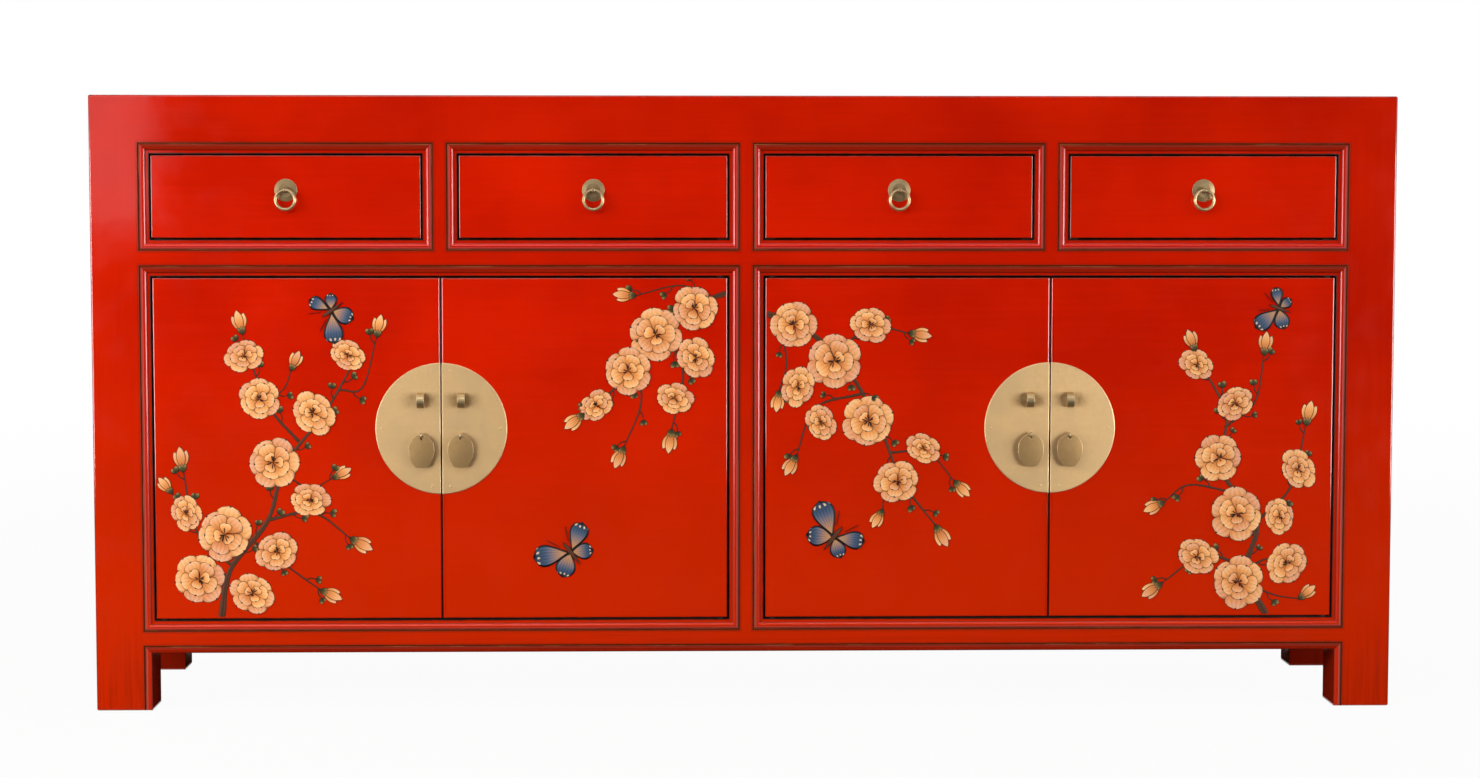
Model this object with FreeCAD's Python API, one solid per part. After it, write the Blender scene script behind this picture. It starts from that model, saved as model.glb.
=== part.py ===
import FreeCAD, Part
import os
from collections import namedtuple

from FreeCAD import Vector

# A lacquered sideboard with four drawers over two pairs of pivoted doors.
# Millimetres. X runs along the front, the front faces -Y, Z is up.
# The origin is on the floor under the middle of the carcase.

# Overall size
width = 1800.0
depth = 400.0
height = 850.0
arris_radius = 2.5

# Flat faces of the frame, without their moulded margins
leg_face = 66.0
front_leg_side = 60.0
rear_leg_side = 50.0
top_rail_face = 65.0
drawer_rail_face = 20.0
bottom_rail_face = 19.5
divider_face = 18.0
leg_clearance = 80.0
drawer_opening_height = 118.0

# Thickness of the frame members from front to back
rail_depth = 40.0
divider_depth = 30.0
end_rail_depth = 40.0
rear_rail_depth = 30.0
rear_rail_height = 45.0
runner_rail_depth = 25.0
runner_rail_height = 30.0

# Tenons
tenon_length = 28.0
tenon_thickness = 12.0
tenon_shoulder = 10.0
divider_tenon_length = 5.0

# Moulding round the openings: a quirk, a bead and a ledge
quirk_width = 1.2
quirk_depth = 2.4
bead_width = 9.3
bead_drop = 3.0
ledge_width = 4.5
ledge_depth = 4.2

# Panels
groove_depth = 8.0
groove_clearance = 1.0
top_panel_thickness = 16.0
top_panel_gap = 0.4
top_tongue_thickness = 6.0
top_tongue_drop = 6.0
side_panel_thickness = 12.0
side_panel_recess = 8.0
back_panel_thickness = 8.0
back_panel_gap = 0.5
back_rebate_width = 10.0
back_rebate_depth = 10.0
floor_thickness = 12.0
floor_drop = 13.0

# Inside the carcase
batten_width = 40.0
batten_thickness = 20.0
runner_thickness = 20.0
runner_bearing = 18.0
guide_height = 30.0
guide_overhang = 2.0
partition_thickness = 18.0
shelf_height = 365.0
shelf_thickness = 15.0
shelf_setback = 50.0
shelf_gap = 0.5
cleat_width = 16.0
cleat_height = 22.0

# Drawers
leaf_recess = 4.0
drawer_gap = 2.0
drawer_edge_radius = 1.5
drawer_front_thickness = 18.0
drawer_length = 346.0
drawer_side_gap = 3.0
drawer_side_thickness = 12.0
drawer_side_height = 95.0
drawer_back_thickness = 12.0
drawer_back_inset = 10.0
drawer_back_housing = 4.0
drawer_bottom_thickness = 6.0
drawer_bottom_lift = 8.0
drawer_bottom_housing = 5.0
tail_count = 3
tail_length = 12.0
tail_width = 20.0
tail_flare = 2.0

# Drawer rings
ring_plate_radius = 15.5
ring_plate_edge = 0.8
ring_plate_crown = 2.2
ring_plate_bevel = 6.0
ring_plate_height = 68.0
ring_eye_reach = 8.5
ring_eye_hole = 2.7
ring_eye_strip = 1.5
ring_eye_width = 3.0
ring_radius = 13.2
ring_wire = 2.2

# Doors
door_gap = 2.0
door_meeting_gap = 2.4
door_thickness = 18.0
door_edge_radius = 2.0
pivot_inset = 10.0
pivot_setback = 7.0
pivot_radius = 4.5
pivot_depth = 10.0
pivot_clearance = 0.05
pivot_headroom = 1.0
door_batten_width = 36.0
door_batten_thickness = 14.0
door_batten_end_gap = 45.0
door_batten_edge_gap = 58.0
door_batten_chamfer = 4.0

# Lock plates, staples and drop pulls
lock_plate_radius = 91.0
lock_plate_thickness = 1.6
lock_plate_chamfer = 0.8
lock_height = 391.5
staple_offset = 28.0
staple_rise = 39.0
staple_width = 10.0
staple_height = 20.5
staple_reach = 12.5
staple_thickness = 2.2
staple_clench = 8.0
pull_offset = 27.0
pull_drop = 9.5
pull_eye_reach = 7.5
pull_eye_hole = 2.8
pull_eye_strip = 1.5
pull_eye_width = 2.2
pull_hole_radius = 2.1
pull_thickness = 2.4
pull_belly = 0.8
pull_head = 1.6
pull_length = 43.0
pull_width = 35.0
pull_shoulder = 18.0
pull_foot_width = 17.0
pull_corner_bow = 3.8
pull_side_bow = 3.0
pull_foot_bow = 1.2
eye_clench = 9.0

# Allowance by which a cutting shape runs past what it cuts
overrun = 5.0

# Lines of the front, worked out from the sizes above
front_y = -depth / 2
back_y = depth / 2
half_width = width / 2
margin = quirk_width + bead_width + ledge_width
bare_margin = quirk_width + bead_width
leg_edge = half_width - leg_face
leg_inside = leg_edge - bare_margin
opening_edge = leg_edge - margin
divider_width = divider_face + 2 * margin
drawer_opening_width = (2 * opening_edge - 3 * divider_width) / 4
door_opening_width = (2 * opening_edge - divider_width) / 2
top_rail_flat_low = height - top_rail_face
drawer_opening_top = top_rail_flat_low - margin
drawer_opening_bottom = drawer_opening_top - drawer_opening_height
drawer_rail_flat_top = drawer_opening_bottom - margin
drawer_rail_flat_low = drawer_rail_flat_top - drawer_rail_face
door_opening_top = drawer_rail_flat_low - margin
bottom_rail_flat_low = leg_clearance + bare_margin
bottom_rail_flat_top = bottom_rail_flat_low + bottom_rail_face
door_opening_bottom = bottom_rail_flat_top + margin
leaf_y = front_y + leaf_recess

# Lines of the ends and of the inside
front_leg_depth = front_leg_side + bare_margin
rear_leg_depth = rear_leg_side + bare_margin
end_opening_top = top_rail_flat_low - bare_margin
end_opening_bottom = bottom_rail_flat_top + bare_margin
front_leg_back = front_y + front_leg_depth
rear_leg_front = back_y - rear_leg_depth
rear_rail_top = leg_clearance + rear_rail_height
floor_top = door_opening_bottom - floor_drop
back_panel_y = back_y - back_rebate_depth
runner_rail_y = back_panel_y - runner_rail_depth
runner_low = drawer_opening_bottom - runner_thickness
side_panel_inside = half_width - side_panel_recess - side_panel_thickness

divider_pitch = drawer_opening_width + divider_width
divider_centres = [-divider_pitch, 0.0, divider_pitch]
drawer_centres = [(i - 1.5) * divider_pitch for i in range(4)]
door_meeting = (divider_width + door_opening_width) / 2
door_meetings = [-door_meeting, door_meeting]

# Points where the moving pieces turn, on a drawer and on a left door that meets at x = 0
ring_z = drawer_opening_bottom + ring_plate_height
ring_y = leaf_y - ring_eye_reach
pivot_x = -(door_opening_width / 2 - door_gap - pivot_inset)
pivot_y = leaf_y + pivot_setback
lock_face_y = leaf_y - lock_plate_thickness
pull_y = lock_face_y - pull_eye_reach
pull_z = lock_height - pull_drop

up = Vector(0, 0, 1)
Face = namedtuple("Face", "origin right inward")
front_face = Face(Vector(0, front_y, 0), Vector(1, 0, 0), Vector(0, 1, 0))
left_face = Face(Vector(-half_width, front_y, 0), Vector(0, -1, 0), Vector(1, 0, 0))


def on_face(face, along, z, inset):
    return face.origin + face.right * along + up * z + face.inward * inset


def block(x0, x1, y0, y1, z0, z1):
    return Part.makeBox(x1 - x0, y1 - y0, z1 - z0, Vector(x0, y0, z0))


def polygon_face(points):
    return Part.Face(Part.makePolygon(points + points[:1]))


def mirrored(shape):
    return shape.mirror(Vector(0, 0, 0), Vector(1, 0, 0))


def moved(shape, x):
    return shape.translated(Vector(x, 0, 0))


# Outlines drawn on the front, on the left end and on the top, pushed into solids

def front_prism(outline, start, end):
    points = [Vector(x, front_y + start, z) for x, z in outline]
    return polygon_face(points).extrude(Vector(0, end - start, 0))


def end_prism(outline, thickness):
    points = [Vector(-half_width, front_y + y, z) for y, z in outline]
    return polygon_face(points).extrude(Vector(thickness, 0, 0))


def plan_prism(outline, low):
    points = [Vector(x, y, low) for x, y in outline]
    return polygon_face(points).extrude(Vector(0, 0, height - low))


# Moulding: the waste between a flat face and the quirk, bead and ledge beside an opening

def moulding_profile(start, across, inward, with_ledge):
    def at(u, v):
        return start + across * u + inward * v

    bead_start = at(quirk_width, quirk_depth)
    bead_crest = at(quirk_width + bead_width / 2, 0)
    bead_end = at(bare_margin, bead_drop)
    if with_ledge:
        end = margin + overrun
        tail = [at(bare_margin, ledge_depth), at(end, ledge_depth), at(end, -overrun)]
    else:
        end = bare_margin + overrun
        tail = [at(end, bead_drop), at(end, -overrun)]
    rest = [bead_end] + tail + [at(0, -overrun), at(0, 0), bead_start]
    edges = [Part.Arc(bead_start, bead_crest, bead_end).toShape()]
    edges += [Part.makeLine(a, b) for a, b in zip(rest[:-1], rest[1:])]
    return Part.Wire(edges)


def moulding(face, corners, closed, with_ledge):
    points = [on_face(face, along, z, 0) for along, z in corners]
    if closed:
        points.append(points[0])
    travel = points[1] - points[0]
    travel.normalize()
    profile = moulding_profile(points[0], travel.cross(face.inward), face.inward, with_ledge)
    return Part.makePolygon(points).makePipeShell([profile], True, False, 1)


def opening_moulding(x_centre, opening_width, low, top):
    reach = opening_width / 2 + margin
    left, right = x_centre - reach, x_centre + reach
    corners = [(left, low - margin), (right, low - margin), (right, top + margin), (left, top + margin)]
    return moulding(front_face, corners, True, True)


def front_mouldings():
    cuts = [
        opening_moulding(x, drawer_opening_width, drawer_opening_bottom, drawer_opening_top)
        for x in drawer_centres
    ]
    cuts += [
        opening_moulding(x, door_opening_width, door_opening_bottom, door_opening_top) for x in door_meetings
    ]
    apron = [
        (leg_edge, -overrun),
        (leg_edge, bottom_rail_flat_low),
        (-leg_edge, bottom_rail_flat_low),
        (-leg_edge, -overrun),
    ]
    return cuts + [moulding(front_face, apron, False, False)]


def end_mouldings():
    near = -front_leg_side
    far = -(depth - rear_leg_side)
    panel = [
        (far, bottom_rail_flat_top),
        (near, bottom_rail_flat_top),
        (near, top_rail_flat_low),
        (far, top_rail_flat_low),
    ]
    apron = [
        (near, -overrun),
        (near, bottom_rail_flat_low),
        (far, bottom_rail_flat_low),
        (far, -overrun),
    ]
    return [moulding(left_face, panel, True, False), moulding(left_face, apron, False, False)]


# Frame members before their mouldings and joints are cut

def rounded_envelope():
    body = block(-half_width, half_width, front_y, back_y, 0, height)
    return body.makeFillet(arris_radius, body.Edges)


def top_front_rail():
    outline = [
        (-half_width, height),
        (half_width, height),
        (leg_edge, top_rail_flat_low),
        (opening_edge, drawer_opening_top),
        (-opening_edge, drawer_opening_top),
        (-leg_edge, top_rail_flat_low),
    ]
    rear = front_y + front_leg_side
    plan = [(-half_width, front_y), (half_width, front_y), (leg_edge, rear), (-leg_edge, rear)]
    return front_prism(outline, 0, front_leg_side).common(plan_prism(plan, drawer_opening_top))


def top_rear_rail():
    outline = [
        (-half_width, height),
        (half_width, height),
        (leg_edge, top_rail_flat_low),
        (-leg_edge, top_rail_flat_low),
    ]
    near = back_y - rear_leg_side
    plan = [(-half_width, back_y), (half_width, back_y), (leg_edge, near), (-leg_edge, near)]
    return front_prism(outline, depth - rear_leg_side, depth).common(plan_prism(plan, top_rail_flat_low))


def top_left_rail():
    outline = [
        (0, height),
        (front_leg_side, top_rail_flat_low),
        (front_leg_depth, end_opening_top),
        (depth - rear_leg_depth, end_opening_top),
        (depth - rear_leg_side, top_rail_flat_low),
        (depth, height),
    ]
    plan = [
        (-half_width, front_y),
        (-leg_edge, front_y + front_leg_side),
        (-leg_edge, back_y - rear_leg_side),
        (-half_width, back_y),
    ]
    return end_prism(outline, leg_face).common(plan_prism(plan, end_opening_top))


def front_left_leg():
    front_outline = [
        (-half_width, 0),
        (-leg_inside, 0),
        (-leg_inside, leg_clearance),
        (-opening_edge, leg_clearance),
        (-opening_edge, drawer_opening_top),
        (-leg_edge, top_rail_flat_low),
        (-half_width, height),
    ]
    end_outline = [
        (0, 0),
        (front_leg_depth, 0),
        (front_leg_depth, end_opening_top),
        (front_leg_side, top_rail_flat_low),
        (0, height),
    ]
    return front_prism(front_outline, 0, front_leg_depth).common(end_prism(end_outline, leg_face + margin))


def rear_left_leg():
    back_outline = [(-half_width, 0), (-leg_edge, 0), (-leg_edge, top_rail_flat_low), (-half_width, height)]
    end_outline = [
        (depth, 0),
        (depth - rear_leg_depth, 0),
        (depth - rear_leg_depth, end_opening_top),
        (depth - rear_leg_side, top_rail_flat_low),
        (depth, height),
    ]
    return front_prism(back_outline, depth - rear_leg_depth, depth).common(end_prism(end_outline, leg_face))


def long_rail(outline, flat_low, flat_top):
    body = front_prism(outline, 0, rail_depth)
    reach = leg_edge + tenon_length
    near = front_y + (rail_depth - tenon_thickness) / 2
    tenon = block(-reach, reach, near, near + tenon_thickness, flat_low, flat_top)
    return body.fuse(tenon).removeSplitter()


def drawer_rail():
    outline = [
        (-opening_edge, drawer_opening_bottom),
        (-leg_edge, drawer_rail_flat_top),
        (-leg_edge, drawer_rail_flat_low),
        (-opening_edge, door_opening_top),
        (opening_edge, door_opening_top),
        (leg_edge, drawer_rail_flat_low),
        (leg_edge, drawer_rail_flat_top),
        (opening_edge, drawer_opening_bottom),
    ]
    return long_rail(outline, drawer_rail_flat_low, drawer_rail_flat_top)


def bottom_front_rail():
    outline = [
        (-opening_edge, door_opening_bottom),
        (-leg_edge, bottom_rail_flat_top),
        (-leg_edge, bottom_rail_flat_low),
        (-leg_inside, leg_clearance),
        (leg_inside, leg_clearance),
        (leg_edge, bottom_rail_flat_low),
        (leg_edge, bottom_rail_flat_top),
        (opening_edge, door_opening_bottom),
    ]
    return long_rail(outline, bottom_rail_flat_low, bottom_rail_flat_top)


def upright(x, low, top):
    half = divider_width / 2
    flat = divider_face / 2
    outline = [
        (x - half, low),
        (x - flat, low - margin),
        (x + flat, low - margin),
        (x + half, low),
        (x + half, top),
        (x + flat, top + margin),
        (x - flat, top + margin),
        (x - half, top),
    ]
    body = front_prism(outline, 0, divider_depth)
    near = front_y + tenon_shoulder
    far = front_y + divider_depth - tenon_shoulder
    reach = margin + divider_tenon_length
    tenon = block(x - flat, x + flat, near, far, low - reach, top + reach)
    return body.fuse(tenon).removeSplitter()


def bottom_left_rail():
    near, far = front_leg_side, depth - rear_leg_side
    outline = [
        (front_leg_depth, end_opening_bottom),
        (near, bottom_rail_flat_top),
        (near, bottom_rail_flat_low),
        (front_leg_depth, leg_clearance),
        (depth - rear_leg_depth, leg_clearance),
        (far, bottom_rail_flat_low),
        (far, bottom_rail_flat_top),
        (depth - rear_leg_depth, end_opening_bottom),
    ]
    left = -half_width + (end_rail_depth - tenon_thickness) / 2
    reach = tenon_length - bare_margin
    tenon = block(
        left,
        left + tenon_thickness,
        front_y + near - reach,
        front_y + far + reach,
        bottom_rail_flat_low,
        bottom_rail_flat_top,
    )
    return end_prism(outline, end_rail_depth).fuse(tenon).removeSplitter()


def rear_rail(y0, y1, low, top):
    middle = (y0 + y1) / 2
    reach = leg_edge + tenon_length
    tenon = block(
        -reach,
        reach,
        middle - tenon_thickness / 2,
        middle + tenon_thickness / 2,
        low + tenon_shoulder,
        top - tenon_shoulder,
    )
    return block(-leg_edge, leg_edge, y0, y1, low, top).fuse(tenon).removeSplitter()


# Grooves, rebates and panels

def framed_panel(x0, x1, y0, y1, z0, z1, growth):
    gx, gy, gz = growth
    return block(x0 - gx, x1 + gx, y0 - gy, y1 + gy, z0 - gz, z1 + gz)


def top_tongue(reach):
    top = height - top_tongue_drop
    return framed_panel(
        -leg_edge,
        leg_edge,
        front_y + front_leg_side,
        back_y - rear_leg_side,
        top - top_tongue_thickness,
        top,
        (reach, reach, 0),
    )


def left_side_panel(reach):
    outside = -half_width + side_panel_recess
    return framed_panel(
        outside,
        outside + side_panel_thickness,
        front_leg_back,
        rear_leg_front,
        end_opening_bottom,
        end_opening_top,
        (0, reach, reach),
    )


def floor_board(reach):
    return framed_panel(
        -half_width + end_rail_depth,
        half_width - end_rail_depth,
        front_y + rail_depth,
        back_y - rear_rail_depth,
        floor_top - floor_thickness,
        floor_top,
        (reach, reach, 0),
    )


def back_board(reach, thickness):
    return framed_panel(
        -leg_edge,
        leg_edge,
        back_panel_y,
        back_panel_y + thickness,
        rear_rail_top,
        top_rail_flat_low,
        (reach, 0, reach),
    )


def top_panel():
    gap = -top_panel_gap
    body = framed_panel(
        -leg_edge,
        leg_edge,
        front_y + front_leg_side,
        back_y - rear_leg_side,
        height - top_panel_thickness,
        height,
        (gap, gap, 0),
    )
    return body.fuse(top_tongue(groove_depth - groove_clearance)).removeSplitter()


def back_panels():
    board = back_board(back_rebate_width - back_panel_gap, back_panel_thickness)
    seam = block(-back_panel_gap / 2, back_panel_gap / 2, back_panel_y, back_y, 0, height)
    return board.cut(seam).Solids


def pivot_sockets():
    radius = pivot_radius + pivot_clearance
    sockets = []
    for meeting in door_meetings:
        for side in (-1, 1):
            x = meeting - side * pivot_x
            low = Vector(x, pivot_y, door_opening_bottom - pivot_depth)
            high = Vector(x, pivot_y, door_opening_top)
            sockets.append(Part.makeCylinder(radius, pivot_depth, low))
            sockets.append(Part.makeCylinder(radius, pivot_depth + pivot_headroom, high))
    return sockets


def carcase():
    dividers = [upright(x, drawer_opening_bottom, drawer_opening_top) for x in divider_centres]
    mullion = upright(0.0, door_opening_bottom, door_opening_top)
    drawer_bar = drawer_rail()
    bottom_bar = bottom_front_rail()
    bottom_left = bottom_left_rail()
    rear_bar = rear_rail(back_y - rear_rail_depth, back_y, leg_clearance, rear_rail_top)
    runner_bar = rear_rail(
        runner_rail_y, back_panel_y, drawer_opening_bottom - runner_rail_height, drawer_opening_bottom
    )

    front_cuts = front_mouldings()
    end_cuts = end_mouldings()
    sockets = pivot_sockets()
    side_groove = left_side_panel(groove_depth)
    top_groove = top_tongue(groove_depth)
    floor_groove = floor_board(groove_depth)
    back_rebate = back_board(back_rebate_width, back_rebate_depth)
    envelope = rounded_envelope()

    front_leg = front_left_leg().cut([drawer_bar, bottom_bar, bottom_left, side_groove] + front_cuts + end_cuts)
    rear_leg = rear_left_leg().cut([bottom_left, rear_bar, runner_bar, side_groove, back_rebate] + end_cuts)
    top_left = top_left_rail().cut([side_groove, top_groove] + end_cuts)
    front_leg = front_leg.common(envelope)
    rear_leg = rear_leg.common(envelope)
    top_left = top_left.common(envelope)
    end_rail = bottom_left.cut([side_groove, floor_groove] + end_cuts)
    side_panel = left_side_panel(groove_depth - groove_clearance)

    floor = floor_board(groove_depth - groove_clearance)
    floor_cuts = [front_left_leg(), mirrored(front_left_leg()), rear_left_leg(), mirrored(rear_left_leg())]

    return {
        "front_left_leg": [front_leg],
        "front_right_leg": [mirrored(front_leg)],
        "rear_left_leg": [rear_leg],
        "rear_right_leg": [mirrored(rear_leg)],
        "top_front_rail": [top_front_rail().cut(dividers + [top_groove] + front_cuts).common(envelope)],
        "top_rear_rail": [top_rear_rail().cut([top_groove, back_rebate]).common(envelope)],
        "top_end_rails": [top_left, mirrored(top_left)],
        "top_panel": [top_panel()],
        "drawer_rail": [drawer_bar.cut(dividers + [mullion] + front_cuts + sockets)],
        "bottom_front_rail": [bottom_bar.cut([mullion, floor_groove] + front_cuts + sockets)],
        "drawer_dividers": [divider.cut(front_cuts) for divider in dividers],
        "door_mullion": [mullion.cut(front_cuts)],
        "bottom_end_rails": [end_rail, mirrored(end_rail)],
        "rear_bottom_rail": [rear_bar.cut([floor_groove, back_rebate])],
        "rear_runner_rail": [runner_bar],
        "side_panels": [side_panel, mirrored(side_panel)],
        "back_panels": back_panels(),
        "floor_board": [floor.cut(floor_cuts)],
    }


# Fittings inside the carcase

def top_battens():
    top = height - top_panel_thickness
    half = batten_width / 2
    return [
        block(x - half, x + half, front_y + front_leg_side, back_y - rear_leg_side, top - batten_thickness, top)
        for x in divider_centres
    ]


def drawer_runners():
    half = divider_width / 2 + runner_bearing
    runners = [
        block(x - half, x + half, front_y + rail_depth, runner_rail_y, runner_low, drawer_opening_bottom)
        for x in divider_centres
    ]
    end = block(
        -side_panel_inside,
        -opening_edge + runner_bearing,
        front_leg_back,
        rear_leg_front,
        runner_low,
        drawer_opening_bottom,
    )
    return runners + [end, mirrored(end)]


def drawer_guides():
    half = divider_width / 2 + guide_overhang
    low, top = drawer_opening_bottom, drawer_opening_bottom + guide_height
    guides = [
        block(x - half, x + half, front_y + divider_depth, runner_rail_y, low, top) for x in divider_centres
    ]
    end = block(-side_panel_inside, -opening_edge + guide_overhang, front_leg_back, rear_leg_front, low, top)
    return guides + [end, mirrored(end)]


def centre_partition():
    half = partition_thickness / 2
    body = block(-half, half, front_y + divider_depth, back_panel_y, floor_top, runner_low)
    around = [
        block(-half, half, front_y, front_y + rail_depth, 0, door_opening_bottom),
        block(-half, half, front_y, front_y + rail_depth, door_opening_top, height),
        block(-half, half, back_y - rear_rail_depth, back_y, 0, rear_rail_top),
        block(-half, half, runner_rail_y, back_y, drawer_opening_bottom - runner_rail_height, height),
    ]
    return body.cut(around)


def left_shelf():
    return block(
        -opening_edge + shelf_gap,
        -partition_thickness / 2 - shelf_gap,
        front_y + shelf_setback,
        back_panel_y,
        shelf_height,
        shelf_height + shelf_thickness,
    )


def left_cleats():
    near, low = front_y + shelf_setback, shelf_height - cleat_height
    outer = block(-leg_edge, -opening_edge + cleat_width, near, back_panel_y, low, shelf_height)
    half = partition_thickness / 2
    inner = block(-half - cleat_width, -half, near, back_panel_y, low, shelf_height)
    return [outer.cut(front_left_leg()), inner]


def fittings():
    shelf = left_shelf()
    cleats = left_cleats()
    return {
        "top_battens": top_battens(),
        "drawer_runners": drawer_runners(),
        "drawer_guides": drawer_guides(),
        "centre_partition": [centre_partition()],
        "shelves": [shelf, mirrored(shelf)],
        "shelf_cleats": cleats + [mirrored(cleat) for cleat in cleats],
    }


# Boards with eased front edges, and eyes that hold a ring or a pull

def eased_board(x0, x1, y0, y1, z0, z1, radius):
    board = block(x0, x1, y0, y1, z0, z1)
    front_edges = [edge for edge in board.Edges if edge.BoundBox.YMax < (y0 + y1) / 2]
    return board.makeFillet(radius, front_edges)


def eye(x, y, z, back, hole_radius, strip, strip_width):
    left, right = x - strip_width / 2, x + strip_width / 2
    centre = Vector(left, y, z)
    loop = Part.makeCylinder(hole_radius + strip, strip_width, centre, Vector(1, 0, 0))
    hole = Part.makeCylinder(hole_radius, strip_width, centre, Vector(1, 0, 0))
    shank = block(left, right, y, back + strip, z - strip, z + strip)
    clench = block(x - eye_clench, x + eye_clench, back, back + strip, z - strip, z + strip)
    return loop.fuse([shank, clench]).removeSplitter().cut(hole)


# One drawer with its middle at x = 0

def drawer_side():
    shoulder = leaf_y + drawer_front_thickness
    tip = shoulder - tail_length
    rear = leaf_y + drawer_length
    low, top = drawer_opening_bottom, drawer_opening_bottom + drawer_side_height
    pitch = drawer_side_height / tail_count
    outline = [(rear, low), (shoulder, low)]
    for i in range(tail_count):
        middle = low + (i + 0.5) * pitch
        neck, head = tail_width / 2 - tail_flare, tail_width / 2
        outline += [
            (shoulder, middle - neck),
            (tip, middle - head),
            (tip, middle + head),
            (shoulder, middle + neck),
        ]
    outline += [(shoulder, top), (rear, top)]
    left = -drawer_opening_width / 2 + drawer_side_gap
    points = [Vector(left, y, z) for y, z in outline]
    return polygon_face(points).extrude(Vector(drawer_side_thickness, 0, 0))


def ring_plate():
    flat_radius = ring_plate_radius - ring_plate_bevel
    outline = [
        (0, 0),
        (ring_plate_radius, 0),
        (ring_plate_radius, ring_plate_edge),
        (flat_radius, ring_plate_crown),
        (0, ring_plate_crown),
    ]
    points = [Vector(radius, leaf_y - rise, ring_z) for radius, rise in outline]
    return polygon_face(points).revolve(points[0], Vector(0, 1, 0), 360)


def drawer():
    inside = drawer_opening_width / 2 - drawer_side_gap - drawer_side_thickness
    face_half = drawer_opening_width / 2 - drawer_gap
    front_back = leaf_y + drawer_front_thickness
    rear = leaf_y + drawer_length
    bottom_low = drawer_opening_bottom + drawer_bottom_lift
    bottom_top = bottom_low + drawer_bottom_thickness
    side_top = drawer_opening_bottom + drawer_side_height

    front = eased_board(
        -face_half,
        face_half,
        leaf_y,
        front_back,
        drawer_opening_bottom + drawer_gap,
        drawer_opening_top - drawer_gap,
        drawer_edge_radius,
    )
    bottom_half = inside + drawer_bottom_housing
    bottom = block(
        -bottom_half, bottom_half, front_back - drawer_bottom_housing, rear, bottom_low, bottom_top
    )
    back_half = inside + drawer_back_housing
    back_rear = rear - drawer_back_inset
    back = block(-back_half, back_half, back_rear - drawer_back_thickness, back_rear, bottom_top, side_top)
    raw_side = drawer_side()
    side = raw_side.cut([bottom, back])
    ring_eye = eye(0, ring_y, ring_z, front_back, ring_eye_hole, ring_eye_strip, ring_eye_width)
    ring_centre = Vector(0, ring_y, ring_z - ring_radius)
    return {
        "front": [front.cut([raw_side, mirrored(raw_side), bottom, ring_eye])],
        "box": [side, mirrored(side), back, bottom],
        "ring_mount": [ring_plate().cut(ring_eye), ring_eye],
        "ring": [Part.makeTorus(ring_radius, ring_wire, ring_centre, Vector(0, 1, 0))],
    }


# One left-hand door with the meeting line of its pair at x = 0

def door_leaf():
    outer = -(door_opening_width / 2 - door_gap)
    low, top = door_opening_bottom + door_gap, door_opening_top - door_gap
    board = eased_board(
        outer, -door_meeting_gap / 2, leaf_y, leaf_y + door_thickness, low, top, door_edge_radius
    )
    pin_length = pivot_depth + door_gap
    pins = [
        Part.makeCylinder(pivot_radius, pin_length, Vector(pivot_x, pivot_y, low - pin_length)),
        Part.makeCylinder(pivot_radius, pin_length, Vector(pivot_x, pivot_y, top)),
    ]
    return board.fuse(pins).removeSplitter()


def door_battens():
    left = -(door_opening_width / 2 - door_gap) + door_batten_end_gap
    right = -door_meeting_gap / 2 - door_batten_end_gap
    near = leaf_y + door_thickness
    far = near + door_batten_thickness
    lows = [
        door_opening_bottom + door_batten_edge_gap,
        door_opening_top - door_batten_edge_gap - door_batten_width,
    ]
    battens = []
    for low in lows:
        board = block(left, right, near, far, low, low + door_batten_width)
        rear_edges = [edge for edge in board.Edges if edge.BoundBox.YMin > (near + far) / 2]
        battens.append(board.makeChamfer(door_batten_chamfer, rear_edges))
    return battens


def lock_plate():
    disc = Part.makeCylinder(
        lock_plate_radius, lock_plate_thickness, Vector(0, leaf_y, lock_height), Vector(0, -1, 0)
    )
    rim = [edge for edge in disc.Edges if edge.BoundBox.YMax < leaf_y - lock_plate_thickness / 2]
    disc = disc.makeChamfer(lock_plate_chamfer, rim)
    reach = lock_plate_radius + overrun
    other_half = block(
        -door_meeting_gap / 2, reach, leaf_y - reach, leaf_y + reach, lock_height - reach, lock_height + reach
    )
    return disc.cut(other_half)


def lock_staple():
    outer = staple_height / 2
    inner = outer - staple_thickness
    arch_y = lock_face_y - staple_reach + outer
    back = leaf_y + door_thickness
    z = lock_height + staple_rise
    left = -staple_offset - staple_width / 2

    def at(y, rise):
        return Vector(left, y, z + rise)

    corners = [at(arch_y, -outer), at(back, -outer), at(back, -inner), at(arch_y, -inner)]
    ends = [at(arch_y, inner), at(back, inner), at(back, outer), at(arch_y, outer)]
    edges = [Part.makeLine(a, b) for a, b in zip(corners[:-1], corners[1:])]
    edges.append(Part.Arc(corners[-1], at(arch_y - inner, 0), ends[0]).toShape())
    edges += [Part.makeLine(a, b) for a, b in zip(ends[:-1], ends[1:])]
    edges.append(Part.Arc(ends[-1], at(arch_y - outer, 0), corners[0]).toShape())
    strap = Part.Face(Part.Wire(edges)).extrude(Vector(staple_width, 0, 0))
    right = left + staple_width
    rear = back + staple_thickness
    clenches = [
        block(left, right, back, rear, z + inner, z + outer + staple_clench),
        block(left, right, back, rear, z - outer - staple_clench, z - inner),
    ]
    return strap.fuse(clenches).removeSplitter()


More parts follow.
